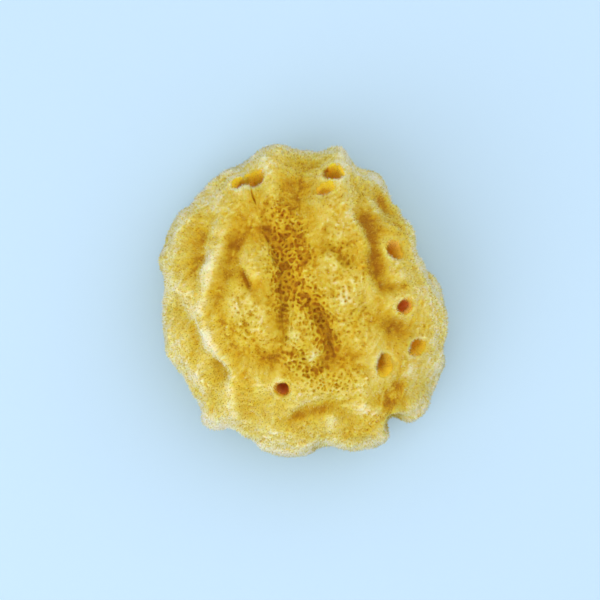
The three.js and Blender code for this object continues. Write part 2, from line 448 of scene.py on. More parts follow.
@dataclass(frozen=True)
class CuredSponginNet(Spongin):
    """Sea sponge body: a net of spongin, washed, cured and dried.

    It gives the eye a matt, warm surface of fine meshes, darker the deeper it lies by painted shade
    in its tone. The real meshes are a little finer, and are drawn coarser so that they show.

    Attributes:
        mesh_size_mm: How far apart the meshes of the net are.
        mesh_depth_mm: How deep they look.
        mesh_strength: How strongly they catch the light.
        mottle_mm: How wide the mottling is.
        mottle: How much it lightens or darkens the tone.
    """

    mesh_size_mm: float = 0.55
    mesh_depth_mm: float = 0.25
    mesh_strength: float = 0.8
    mottle_mm: float = 1.4
    mottle: float = 0.12

    def material(self) -> bpy.types.Material:
        """Makes the material. It reads the skin's tone, and its share of canal lining.

        Returns:
            The material.
        """
        material, tree = bare_material("cured spongin net, washed and dried")
        place = add_node(tree, "ShaderNodeTexCoord").outputs["Object"]
        tone, canal = (
            add_node(tree, "ShaderNodeAttribute", {"attribute_name": name}).outputs["Fac"]
            for name in (TONE, CANAL)
        )
        mottle = add_node(
            tree,
            "ShaderNodeTexNoise",
            sockets={"Vector": place, "Scale": 1 / (self.mottle_mm * MM), "Detail": 3.0},
        )
        shade = add_node(
            tree,
            "ShaderNodeMath",
            {"operation": "MULTIPLY_ADD"},
            {0: mottle.outputs["Fac"], 1: 2 * self.mottle, 2: -self.mottle},
        )
        colour = self.toned(tree, tone, shade.outputs[0])
        # Painted light: the canal lining is painted bright and warm, for light that filters through
        # the net, over its own warmer colour.
        lining = add_node(tree, "ShaderNodeValToRGB", sockets={"Fac": tone}, stops=LINING_TONES)
        lined = add_node(
            tree,
            "ShaderNodeMix",
            {"data_type": "RGBA"},
            {"Factor": canal, 6: colour, 7: lining.outputs["Color"]},
        )
        meshes = add_node(
            tree,
            "ShaderNodeTexVoronoi",
            {"feature": "DISTANCE_TO_EDGE"},
            {"Vector": place, "Scale": 1 / (self.mesh_size_mm * MM)},
        )
        relief = add_node(
            tree,
            "ShaderNodeBump",
            {"invert": True},
            {
                "Strength": self.mesh_strength,
                "Distance": self.mesh_depth_mm * MM,
                "Height": meshes.outputs["Distance"],
            },
        )
        self.dress(tree, lined.outputs[2], {"Normal": relief.outputs["Normal"]})
        return material


@dataclass(frozen=True)
class SponginFibre(Spongin):
    """Sea sponge nap: free ends of spongin fibre, dried in points.

    It gives the eye pale, slightly glowing tips over ochre roots. What it has in common with the
    net is for a single fibre, which light goes less far into.

    Attributes:
        root_shade: How much the roots are darker than their tone.
        tip_shade: How much the tips are lighter.
    """

    roughness: float = 0.75
    gloss: float = 0.07
    glow: float = 0.4
    glow_radii: tuple[float, float, float] = (1.0, 0.6, 0.2)
    glow_mm: float = 1.5
    root_shade: float = -0.04
    tip_shade: float = 0.06

    def material(self) -> bpy.types.Material:
        """Makes the material. Its map runs from root to tip one way, and by tone the other.

        Returns:
            The material.
        """
        material, tree = bare_material("dried spongin fibre")
        uv = add_node(tree, "ShaderNodeUVMap", {"uv_map": UV_MAP})
        parts = add_node(tree, "ShaderNodeSeparateXYZ", sockets={0: uv.outputs["UV"]})
        along, tone = parts.outputs[0], parts.outputs[1]
        shade = add_node(
            tree,
            "ShaderNodeMapRange",
            sockets={"Value": along, "To Min": self.root_shade, "To Max": self.tip_shade},
        )
        self.dress(tree, self.toned(tree, tone, shade.outputs[0]))
        return material


@dataclass(frozen=True)
class StudioPaper:
    """Studio paper: a wide roll, rolled smooth and dyed pale blue.

    It gives the eye an even, matt ground with the faintest tooth.

    Attributes:
        colour: The dye.
        tooth_mm: How far apart the bumps of its tooth are.
        tooth_depth_mm: How deep they look.
        tooth_strength: How strongly they catch the light.
        roughness: How matt it is.
        gloss: How much light its face throws back.
    """

    colour: str = "#bbd8f4"
    tooth_mm: float = 1.5
    tooth_depth_mm: float = 0.05
    tooth_strength: float = 0.1
    roughness: float = 0.9
    gloss: float = 0.2

    def material(self) -> bpy.types.Material:
        """Makes the material.

        Returns:
            The material.
        """
        material, tree = bare_material("dyed studio paper")
        place = add_node(tree, "ShaderNodeTexCoord").outputs["Object"]
        scale = 1 / (self.tooth_mm * MM)
        tooth = add_node(tree, "ShaderNodeTexNoise", sockets={"Vector": place, "Scale": scale})
        relief = add_node(
            tree,
            "ShaderNodeBump",
            sockets={
                "Strength": self.tooth_strength,
                "Distance": self.tooth_depth_mm * MM,
                "Height": tooth.outputs["Fac"],
            },
        )
        shader = add_node(
            tree,
            "ShaderNodeBsdfPrincipled",
            sockets={
                "Base Color": linear(self.colour),
                "Roughness": self.roughness,
                "Specular IOR Level": self.gloss,
                "Normal": relief.outputs["Normal"],
            },
        )
        add_node(tree, "ShaderNodeOutputMaterial", sockets={"Surface": shader.outputs[0]})
        return material


# -------------------------------------------------------------------------------------------------
# The lie of the sponge: its box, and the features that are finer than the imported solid's
# -------------------------------------------------------------------------------------------------


class Kind(Enum):
    """What a feature does to the skin: a slit is a furrow so thin that it is cut in last, and the
    last kind only tints the tone, with real marks, painted shade in hollows and painted highlights
    on humps.
    """

    CREST = "crest"
    FURROW = "furrow"
    SLIT = "slit"
    STAIN_AND_PAINTED_LIGHT = "stain_and_paint_light"


@dataclass(frozen=True)
class Feature:
    """A crest, furrow, slit or tint that runs over the skin.

    Attributes:
        name: What it is.
        kind: Crest, furrow, slit, or a tint of marks, painted shade and painted highlights.
        path: The places it runs through, [x, y] in millimetres from the middle of a sponge of
            PLAN_SIZE.
        tint: How much it lightens the tone, or darkens it if negative, partly as painted highlights
            and painted shade; for a slit, how much painted shade darkens it.
        spread: How far from its middle the tint falls to about a third, in millimetres.
        size: How far its middle stands out or in, in millimetres.
        width: How far from its middle that falls to about a third, in millimetres.
    """

    name: str
    kind: Kind
    path: tuple[Place, ...]
    tint: float
    spread: float
    size: float = 0.0
    width: float = 1.0


@dataclass(frozen=True)
class Swell:
    """A swelling of the brim that runs all the way down the flank, or a dent.

    Attributes:
        place: Where it is, [x, y] in millimetres from the middle of a sponge of PLAN_SIZE.
        size: How far it stands out, in millimetres; a dent's is negative.
        width: How far from its middle that falls to about a third, in millimetres.
    """

    place: Place
    size: float
    width: float


@dataclass(frozen=True)
class LacePatch:
    """A stretch where the skin is an open lace, coarse and tufted.

    Attributes:
        path: The places that its middle runs through, as a feature's.
        spread: How far from them its openness falls to about a third, in millimetres.
        openness: How open its middle is, from 0 to 1.
    """

    path: tuple[Place, ...]
    spread: float
    openness: float


@dataclass(frozen=True)
class RedCanal:
    """A canal that is red-brown inside, its lining painted its brightest orange so that in the
    canal's shade it glows red-brown as if light filtered through the net.

    Attributes:
        mouth: The place of its mouth.
        reach: How far from there the colour falls to about a third, in millimetres.
    """

    mouth: Place
    reach: float


PLAN_SIZE = (132.9, 145.6)  # the width and depth of the sponge that the places below are on
GROWTH_CENTRE = np.array([2.1, 1.2, 28.0])  # the middle of the lump, which it grew out from

# Painted light: the crests' tints and the pale tints are partly painted highlights, and the furrows'
# and dark tints partly painted shade in the hollows, beside real bleaching and marks.
FEATURES = (
    Feature(
        "left fold crest",
        Kind.CREST,
        (
            (-30, 40), (-33.5, 32), (-38, 22), (-41, 11), (-43, 3),
            (-44, -4), (-43, -13), (-39, -20), (-34, -25),
        ),
        0.28, 2.6, 0.5, 1.9,
    ),
    Feature(
        "low left fold crest",
        Kind.CREST,
        ((-31, -29), (-32, -37), (-31, -45), (-29, -52)),
        0.12, 2.6, 0.5, 1.9,
    ),
    Feature(
        "right fold crest",
        Kind.CREST,
        ((14, 47.5), (18.5, 40), (23, 32), (24, 24), (26, 14.5), (28, 6), (29, -1)),
        0.04, 3.0, 0.1, 2.0,
    ),
    Feature(
        "far left band",
        Kind.CREST,
        ((-17, 65), (-14, 56), (-15, 47), (-12, 42)),
        0.14, 3.2, 0.6, 2.5,
    ),
    Feature("front lip crest", Kind.CREST, ((14, -46), (24, -46), (34, -47)), 0.2, 2.4, 0.4, 1.8),
    Feature("slit crest", Kind.CREST, ((-24, 3), (-21, -1), (-18, -5)), 0.12, 3.0, 0.5, 2.2),
    Feature("pale patch", Kind.CREST, ((12, 17), (15, 15)), 0.14, 3.4, 0.4, 2.5),
    Feature("left knob", Kind.CREST, ((-44, -15), (-42, -18)), 0.25, 3.2, 0.7, 2.6),
    Feature(
        "pocket rim crest", Kind.CREST, ((-46, -26), (-47, -31), (-44, -38)), 0.16, 2.8, 0.4, 1.8
    ),
    Feature("middle knob", Kind.CREST, ((5, -22), (4, -26)), 0.16, 2.8, 0.8, 2.2),
    Feature("small middle knob", Kind.CREST, ((-4, -12), (-5, -17)), 0.14, 2.4, 0.7, 2.0),
    Feature("bright hump", Kind.STAIN_AND_PAINTED_LIGHT, ((16, 8), (17, 0), (16, -6)), 0.11, 7.0),
    Feature("upper hump", Kind.STAIN_AND_PAINTED_LIGHT, ((10, 36), (13, 29)), 0.1, 6.0),
    Feature("front bump", Kind.STAIN_AND_PAINTED_LIGHT, ((14, -52),), 0.26, 4.5),
    Feature("low right knob", Kind.STAIN_AND_PAINTED_LIGHT, ((46, -29.5),), 0.2, 3.2),
    Feature("lowest right knob", Kind.STAIN_AND_PAINTED_LIGHT, ((48, -38.5),), 0.26, 3.6),
    Feature("far left brink", Kind.STAIN_AND_PAINTED_LIGHT, ((-61, 9), (-52, 6), (-46, 3)), 0.15, 4.5),
    Feature("middle swelling", Kind.STAIN_AND_PAINTED_LIGHT, ((-24, -2), (-20, -10)), 0.1, 6.0),
    Feature("far right brink", Kind.STAIN_AND_PAINTED_LIGHT, ((30, 58), (40, 48), (50, 32)), 0.14, 3.0),
    Feature(
        "long furrow",
        Kind.FURROW,
        ((-18, 37), (-13, 22), (-10, 14.5), (-9.4, 3), (-9.2, -6), (-9, -18)),
        0.02, 2.6, 1.0, 1.7,
    ),
    Feature("long basin", Kind.STAIN_AND_PAINTED_LIGHT, ((-15, 36), (-12, 20), (-11, 4), (-11, -6)), -0.16, 11.0),
    Feature("slit sides", Kind.FURROW, ((-27, 14.5), (-25, 10), (-23, 5)), -0.2, 2.4, 0.8, 2.0),
    Feature("crack", Kind.SLIT, ((-22.9, 51), (-22.4, 47), (-20.4, 42)), 0.9, 0.5, 1.6, 0.3),
    Feature("slit", Kind.SLIT, ((-27, 14.5), (-25, 10), (-23, 5)), 0.4, 0.7, 0.9, 0.7),
    Feature("long slit", Kind.SLIT, ((-9.8, 2), (-9.2, -6), (-8.6, -18)), 0.25, 0.7, 1.0, 0.45),
    Feature("slanting slit", Kind.SLIT, ((9.5, -13), (12, -19), (12.6, -24)), 0.4, 0.9, 1.1, 0.8),
    Feature(
        "slanting furrow",
        Kind.FURROW,
        ((1.5, -1), (5, -3.5), (8, -9), (11, -15), (12.4, -21.5), (10, -27)),
        -0.11, 3.8, 0.9, 2.2,
    ),
    Feature(
        "slanting furrow sides", Kind.STAIN_AND_PAINTED_LIGHT, ((-2, 4), (4, -4), (9, -12), (11, -22)), -0.13, 7.5
    ),
    Feature("arch", Kind.FURROW, ((8, 21), (11, 23), (16, 21), (18, 16)), -0.1, 1.8, 0.5, 1.1),
    Feature(
        "right furrow", Kind.STAIN_AND_PAINTED_LIGHT, ((23, 42), (27, 31), (28, 22), (30, 14.5), (32, 9)), -0.3, 7.0
    ),
    Feature("far right flank", Kind.STAIN_AND_PAINTED_LIGHT, ((30, 52), (34, 46), (38, 38), (44, 28)), -0.36, 8.0),
    Feature("right crease", Kind.FURROW, ((31, 7.5), (40, 6), (52, 9)), -0.12, 1.6, 0.5, 1.2),
    Feature("right hollow", Kind.STAIN_AND_PAINTED_LIGHT, ((37, -10), (44, -14)), -0.14, 6.0),
    Feature("low right hollow", Kind.STAIN_AND_PAINTED_LIGHT, ((42, -34), (44, -42)), -0.18, 4.5),
    Feature("lowest right hollow", Kind.STAIN_AND_PAINTED_LIGHT, ((53, -41), (57, -38)), -0.16, 4.0),
    Feature("notch", Kind.STAIN_AND_PAINTED_LIGHT, ((37, -46), (39.5, -50), (42, -54), (44, -58)), -0.36, 5.0),
    Feature(
        "front recess",
        Kind.FURROW,
        ((-8, -53), (1, -48), (11, -46), (18, -48)),
        -0.12, 3.6, 0.4, 2.0,
    ),
    Feature("recess fork", Kind.FURROW, ((-4, -49), (-5, -56)), -0.1, 2.6, 0.4, 1.8),
    Feature("lip hollow", Kind.STAIN_AND_PAINTED_LIGHT, ((21, -59), (26, -60)), -0.2, 3.6),
    Feature("left trough", Kind.STAIN_AND_PAINTED_LIGHT, ((-43, 34), (-46, 24), (-48, 14)), -0.15, 5.5),
    Feature("low left trough", Kind.STAIN_AND_PAINTED_LIGHT, ((-56, -4), (-51, -10), (-47, -17)), -0.01, 4.4),
    Feature("left pocket", Kind.FURROW, ((-40, -27), (-36, -32)), 0.13, 4.6, 0.3, 2.8),
    Feature("small left hollow", Kind.STAIN_AND_PAINTED_LIGHT, ((-39, -41),), -0.08, 3.4),
    Feature("upper left hollow", Kind.STAIN_AND_PAINTED_LIGHT, ((-26, 33), (-29, 24), (-30, 12)), -0.16, 4.5),
    Feature("far hollow", Kind.STAIN_AND_PAINTED_LIGHT, ((2, 62), (-4, 55), (-3, 48)), -0.14, 7.5),
    Feature("left front hollow", Kind.STAIN_AND_PAINTED_LIGHT, ((-22, -20), (-16, -24), (-6, -24)), -0.2, 4.5),
    Feature("front hollow", Kind.STAIN_AND_PAINTED_LIGHT, ((2, -27), (9, -31)), -0.2, 3.6),
    Feature("left face", Kind.STAIN_AND_PAINTED_LIGHT, ((-33, 12), (-34, 2), (-34, -8), (-31, -16)), -0.11, 5.5),
    Feature("right face", Kind.STAIN_AND_PAINTED_LIGHT, ((24, 26), (25, 18), (27, 10)), -0.08, 4.5),
    Feature(
        "left brim",
        Kind.STAIN_AND_PAINTED_LIGHT,
        ((-58, 38), (-64, 24), (-66, 8), (-64, -12), (-58, -28)),
        -0.12, 5.0,
    ),
    Feature("right brim", Kind.STAIN_AND_PAINTED_LIGHT, ((60, 24), (64, 8), (65, -8)), -0.08, 4.0),
    Feature("front brim", Kind.STAIN_AND_PAINTED_LIGHT, ((-46, -52), (-32, -60), (-16, -68), (2, -70)), 0.26, 5.5),
    Feature("far brim", Kind.STAIN_AND_PAINTED_LIGHT, ((-10, 66), (-2, 66)), -0.09, 5.0),
    Feature("upper left face", Kind.STAIN_AND_PAINTED_LIGHT, ((-44, 50), (-40, 45), (-38, 40)), 0.09, 6.0),
    Feature("lace shade", Kind.STAIN_AND_PAINTED_LIGHT, ((-12, 46), (-6, 34), (-3, 20), (-4, 6)), -0.18, 8.0),
    Feature("lower lace shade", Kind.STAIN_AND_PAINTED_LIGHT, ((0, 2), (8, -8), (14, -20), (20, -28)), -0.06, 8.0),
)

BRIM = (
    Swell((57, 12), -2.6, 7.0),
    Swell((50, 29), 1.0, 3.5),
    Swell((44, 40), -2.3, 5.0),
    Swell((36, 53), -1.0, 3.0),
    Swell((23, 62), -3.0, 4.8),
    Swell((4, 68), -1.3, 7.0),
    Swell((-30, 61), -0.9, 4.0),
    Swell((-50, 45), -1.4, 6.0),
    Swell((-64, 16), 1.1, 5.0),
    Swell((-61, -22), 1.0, 3.5),
    Swell((-44, -54), 1.7, 4.0),
    Swell((-35, -57), -2.0, 4.5),
    Swell((-25, -61), 1.4, 3.5),
    Swell((-17, -67), 0.9, 3.5),
    Swell((7, -66), -1.8, 4.5),
    Swell((21, -66), 2.0, 5.0),
    Swell((38.5, -54), -3.6, 5.6),
    Swell((56, -45), -1.3, 8.0),
    Swell((62, -20), -1.2, 7.0),
)

# Painted light: these canals' linings are painted bright orange to glow red-brown in their shade.
RED_CANALS = (RedCanal((-9, -37), 14.0), RedCanal((43, -2), 10.0))

LACE = (
    LacePatch(((-12, 46), (-9, 34), (-7, 18), (-6, 4), (2, -2), (8, -12), (14, -26)), 9.5, 1.0),
    LacePatch(((-27, 10), (-26, -4), (-22, -14), (-12, -26)), 8.0, 0.42),
    LacePatch(((-8, -10), (-4, -24), (4, -32), (14, -36), (28, -36)), 9.0, 0.65),
    LacePatch(((12, 40), (14, 28), (18, 14), (18, 0), (24, -14), (28, -24)), 10.0, 0.42),
)


@dataclass(frozen=True)
class Plot:
    """The sponge's box, and places on its skin.

    Attributes:
        low: The box's lowest corner, in metres.
        high: The box's highest corner, in metres.
    """

    low: Vector
    high: Vector

    def over(self, place: Place) -> Vector:
        """Finds the point over a place.

        Args:
            place: The place, as a feature's.

        Returns:
            The point at the top of the box, in millimetres, on a sponge of this box's size.
        """
        middle, size = (self.low + self.high) / 2, self.high - self.low
        return Vector(
            (
                middle.x / MM + place[0] * size.x / MM / PLAN_SIZE[0],
                middle.y / MM + place[1] * size.y / MM / PLAN_SIZE[1],
                self.high.z / MM,
            )
        )

    def run(self, path: tuple[Place, ...], skin: BVHTree, step: float = 1.0) -> np.ndarray:
        """Follows a path over the skin.

        Args:
            path: The places it runs through.
            skin: The skin, in millimetres.
            step: The distance between the points, in millimetres.

        Returns:
            Points on the skin.
        """
        corners = np.array([self.over(place) for place in path])
        lengths = np.r_[0, np.cumsum(np.linalg.norm(np.diff(corners, axis=0), axis=1))]
        stations = np.linspace(0, lengths[-1], max(2, int(lengths[-1] / step)))
        places = np.stack([np.interp(stations, lengths, column) for column in corners.T], axis=1)
        clear = Vector((0, 0, 20))  # well above the crown, to look down from
        found = [skin.ray_cast(Vector(place) + clear, -Vector(UP))[0] for place in places]
        return np.array([place for place in found if place is not None])


# -------------------------------------------------------------------------------------------------
# The body
# -------------------------------------------------------------------------------------------------

# How many rounds of smoothing leave out the folds, the swellings between them, and the knobs.
FOLDS, SWELLINGS, KNOBS = 160, 40, 8


@dataclass
class Skin:
    """The points of a fine skin in millimetres, with the sums over neighbours that shape it.

    Attributes:
        points: Its points.
        normals: The way out at each.
        edges: The numbers of the two points that each edge joins.
        faces: The numbers of the three points of each triangle.
    """

    points: np.ndarray
    normals: np.ndarray
    edges: np.ndarray
    faces: np.ndarray

    @classmethod
    def of(cls, mesh: bpy.types.Mesh) -> "Skin":
        """Reads a mesh.

        Args:
            mesh: Any mesh, in metres.

        Returns:
            Its skin.
        """
        mesh.calc_loop_triangles()
        return cls(
            read(mesh.vertices, "co", 3) / MM,
            read(mesh.vertex_normals, "vector", 3),
            read(mesh.edges, "vertices", 2, int),
            read(mesh.loop_triangles, "vertices", 3, int),
        )

    @cached_property
    def tree(self) -> BVHTree:
        """The triangles, sorted for finding what a ray meets or what a point is nearest to."""
        return BVHTree.FromPolygons(self.points.tolist(), self.faces.tolist())

    @cached_property
    def neighbours(self) -> tuple[np.ndarray, np.ndarray]:
        """The points that the edges lead from and those that they lead to, both ways round."""
        first, second = self.edges.T
        return np.r_[first, second], np.r_[second, first]

    def averaged(self, values: np.ndarray) -> np.ndarray:
        """Finds each point's mean over its neighbours.

        Args:
            values: A value for each point, or a row of them.

        Returns:
            The means.
        """
        here, there = self.neighbours
        columns = values.reshape(len(values), -1)
        count = np.maximum(np.bincount(here, minlength=len(values)), 1)
        sums = [np.bincount(here, weights=c[there], minlength=len(values)) for c in columns.T]
        return (np.stack(sums, axis=1) / count[:, None]).reshape(values.shape)

    def spread(self, values: np.ndarray, rounds: int) -> np.ndarray:
        """Smooths values over the skin.

        Args:
            values: A value for each point, or a row of them.
            rounds: How many steps from neighbour to neighbour they spread.

        Returns:
            The smoothed values.
        """
        for _ in range(rounds):
            values = (values + self.averaged(values)) / 2
        return values

    def relief(self, rounds: int) -> np.ndarray:
        """Finds how far each point stands out of the smoothed skin.

        Args:
            rounds: How many rounds the skin is smoothed.

        Returns:
            The millimetres, less what they are at most points.
        """
        plain = self.spread(self.points, rounds)
        offset = dot(self.points - plain, self.normals)
        return offset - np.median(offset)

    def uphill(self, heights: np.ndarray) -> np.ndarray:
        """Finds the slope of some heights along the skin.

        Args:
            heights: The height of each point.

        Returns:
            A vector towards higher ground at each.
        """
        here, there = self.neighbours
        gaps = self.points[there] - self.points[here]
        rises = (heights[there] - heights[here]) / np.maximum((gaps**2).sum(1), 1e-9)
        pull = gaps * rises[:, None]
        sums = [np.bincount(here, weights=c, minlength=len(heights)) for c in pull.T]
        slope = np.stack(sums, axis=1) / 2
        return slope - self.normals * dot(slope, self.normals)[:, None]

    def flank(self) -> np.ndarray:
        """How much each point belongs to the flanks, from 0 on the crown to 1."""
        rounds, steep, level = 30, 0.2, 0.95
        return 1 - smoothstep(self.spread(self.normals, rounds)[:, 2], steep, level)

    def shelter(self, reach: float = 14.0, rays: int = 6) -> np.ndarray:
        """How much the skin round about hides each point, from 0 to 1.

        Args:
            reach: How far away the skin still hides a point, in millimetres.
            rays: How many ways to look from each point, one straight out and a ring of others.

        Returns:
            The share of the ways that meet the skin, where a near meeting counts for more.
        """
        clearance, ring_lean = 0.05, math.radians(50)
        first, second = across(self.normals)
        starts = (self.points + clearance * self.normals).tolist()
        hidden = np.zeros(len(self.points))
        for i in range(rays):
            turn, lean = 2 * math.pi * i / (rays - 1), 0.0 if i == 0 else ring_lean
            sideways = math.cos(turn) * first + math.sin(turn) * second
            ways = (math.cos(lean) * self.normals + math.sin(lean) * sideways).tolist()
            for j, (start, way) in enumerate(zip(starts, ways)):
                distance = self.tree.ray_cast(start, way, reach)[3]
                if distance is not None:
                    hidden[j] += 1 - distance / reach
        return hidden / rays


def merged(solid: bpy.types.Object) -> bmesh.types.BMesh:
    """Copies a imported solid, with the corners that lie together made one.

    Args:
        solid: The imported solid.

    Returns:
        The copy.
    """
    form = bmesh.new()
    form.from_mesh(solid.data)
    bmesh.ops.remove_doubles(form, verts=form.verts, dist=MERGE_GAP)
    return form


@dataclass(frozen=True)
class Mouth:
    """The mouth of a canal, in millimetres.

    Attributes:
        brim: Points along its edge, close together.
        outward: The way out of the lump.
        inward: For each point of the edge, the way across to the middle of the mouth.
    """

    brim: np.ndarray
    outward: np.ndarray
    inward: np.ndarray

    @classmethod
    def all_of(cls, solid: bpy.types.Object, step: float = 0.4) -> list["Mouth"]:
        """Finds the mouths: closed runs of sharp outer edges on the solid, above its cut.

        Args:
            solid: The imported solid.
            step: The distance between the points of a brim.

        Returns:
            The mouths.
        """
        sharpness, fewest_edges, clear_of_cut = math.radians(50), 20, 1.5 * MM
        form = merged(solid)
        form.edges.index_update()
        sharp = {
            edge
            for edge in form.edges
            if edge.calc_face_angle_signed() > sharpness
            and min(vert.co.z for vert in edge.verts) > clear_of_cut
        }
        mouths = []
        for first in sorted(sharp, key=lambda edge: edge.index):
            run, front = [], [first] if first in sharp else []
            sharp.discard(first)
            while front:
                edge = front.pop()
                run.append([np.array(vert.co) / MM for vert in edge.verts])
                linked = {e for vert in edge.verts for e in vert.link_edges} & sharp
                sharp -= linked
                front.extend(sorted(linked, key=lambda e: e.index))
            if len(run) >= fewest_edges:
                mouths.append(cls.through(np.array(run), step))
        form.free()
        return mouths

    @classmethod
    def through(cls, edges: np.ndarray, step: float) -> "Mouth":
        """Makes a mouth from the edges round it.

        Args:
            edges: The two ends of each edge.
            step: The distance between the points of its brim.

        Returns:
            The mouth.
        """
        middle = edges.reshape(-1, 3).mean(0)
        outward = np.linalg.svd(edges.reshape(-1, 3) - middle)[2][2]
        outward *= np.sign(outward @ (middle - GROWTH_CENTRE))
        brim = []
        for start, end in edges:
            count = max(1, round(np.linalg.norm(end - start) / step))
            brim.extend(start + (end - start) * share for share in (np.arange(count) + 0.5) / count)
        brim = np.array(brim)
        inward = middle - brim
        inward -= outward * (inward @ outward)[:, None]
        return cls(brim, outward, unit(inward))

    def nearest(
        self, points: np.ndarray, reach: float
    ) -> tuple[np.ndarray, np.ndarray, np.ndarray]:
        """Finds the points round the mouth, and the place on its edge that each is nearest to.

        Args:
            points: Any points.
            reach: How far from the mouth's middle, past its edge, to look.

        Returns:
            The numbers of the points, of their places on the edge, and the gaps between.
        """
        tree = sorted_tree(self.brim)
        middle = self.brim.mean(0)
        size = np.linalg.norm(self.brim - middle, axis=1).max()
        near = np.flatnonzero(np.linalg.norm(points - middle, axis=1) < size + reach)
        found = [tree.find(points[i])[1:] for i in near]
        return near, np.array([i for i, _ in found], int), np.array([gap for _, gap in found])

    def open_wider(self, points: np.ndarray, width: float, reach: float) -> "Mouth":
        """Moves the skin round the mouth away from its middle.

        Args:
            points: The points of the skin, which are moved.
            width: How far the edge moves.
            reach: How far from the edge that falls to about a third.

        Returns:
            The wider mouth.
        """
        near, places, gaps = self.nearest(points, FADED * reach)
        points[near] -= self.inward[places] * (width * bell(gaps, reach))[:, None]
        return Mouth(self.brim - width * self.inward, self.outward, self.inward)

    def holds(self, points: np.ndarray) -> np.ndarray:
        """Finds the points inside the canal.

        Args:
            points: Any points.

        Returns:
            Whether each is inside.
        """
        depth, height = 12.0, 1.0
        near, places, _ = self.nearest(points, depth)
        offset = points[near] - self.brim[places]
        inside = np.zeros(len(points), bool)
        inside[near] = (dot(offset, self.inward[places]) > 0) & (offset @ self.outward < height)
        return inside


@dataclass(frozen=True)
class Pore:
    """A hole in the lace or a pit in the nap: its middle and its radius in millimetres."""

    middle: Vector
    radius: float


@dataclass(frozen=True)
class Slit:
    """A slit in the skin: the line it follows and its half width, in millimetres."""

    line: np.ndarray
    width: float


@dataclass(frozen=True)
class StainsAndPaintedShade:
    """How sun and water bleach and mark the skin, and the painted shade of its sheltered places,
    hollows and lower flanks, as parts of its tone.

    Attributes:
        plain: The tone of plain open skin.
        reliefs: For each relief the rounds of smoothing it stands out of, what a millimetre of it
        adds, and the millimetres between which it counts: partly bleaching, partly painted
        highlights on what stands out and painted shade in what sinks.
        sheltered: What full shelter takes off on the crown, as painted shade.
        streaked: What the streaks of fibre add and take off.
        flank: The tone of the flanks at their foot, and how much paler they are higher up, which is
            painted shade lower down.
        flank_heights: The heights between which they grow paler, in millimetres.
        flank_sheltered: What full shelter takes off on the flanks, as painted shade.
        flank_share: How much the flanks' own tone counts there.
        broad_mottle: The wavelength of the broad mottling in millimetres, and what it adds.
        small_mottle: The same for the small mottling.
        contrast: How much further from a middle tone everything is.
        pivot: The middle tone that the contrast is about.
        lining: The tone inside the canals, where the lining is painted bright and warm as light that
            filters through the net.
        drifts: The wavelength and distance of the two wavers that the features are drawn with.
        give: How much of a tone shows under the least one.
    """

    plain: float = 0.5
    reliefs: tuple[tuple[int, float, float, float], ...] = (
        (FOLDS, 0.04, -4, 3),
        (SWELLINGS, 0.06, -2, 2),
        (KNOBS, 0.06, -1, 1),
    )
    sheltered: float = 0.3
    streaked: float = 0.15
    flank: Pair = (0.5, 0.32)
    flank_heights: Pair = (2, 30)
    flank_sheltered: float = 1.2
    flank_share: float = 0.85
    broad_mottle: Pair = (12, 0.1)
    small_mottle: Pair = (5, 0.08)
    contrast: float = 1.12
    pivot: float = 0.45
    lining: float = 0.28
    drifts: tuple[Pair, Pair] = ((7.0, 2.2), (2.5, 0.9))
    give: float = 0.3


@dataclass(frozen=True)
class Holes:
    """How the holes of the lace are strewn in its net, in millimetres.

    Attributes:
        most: How many places are tried.
        stray: How much the draws count against lying in a gap of the net.
        spacing: How far apart they are on average.
        spacings: The least share of that, and how much more it may be.
        radius: About how wide they are.
        radii: The least share of that, and how much more it may be.
        small: How wide the holes are where the lace is barely open, as a share.
        open: How open the lace is where they are at their widest.
        depth: How deep they are.
        waver: How much the way they are stretched strays.
        stretch: How much they are stretched, from 0 to 1.
        drift: The wavelength and distance of the waver in their edges.
        steepness: How steep their sides are.
        lip: How far out their sides begin, in radii.
        darkness: How much painted shade darkens their middles, from 0 to 1.
    """

    most: int = 12000
    stray: float = 0.3
    spacing: float = 1.55
    spacings: Pair = (0.7, 0.7)
    radius: float = 0.52
    radii: Pair = (0.5, 0.8)
    small: float = 0.45
    open: float = 0.75
    depth: float = 0.9
    waver: float = 0.3
    stretch: float = 0.65
    drift: Pair = (1.3, 0.5)
    steepness: float = 1.6
    lip: float = 1.15
    darkness: float = 0.6

    @property
    def reach(self) -> float:
        """How far from the middle of a hole its sides may run."""
        return 2.6 * self.radius


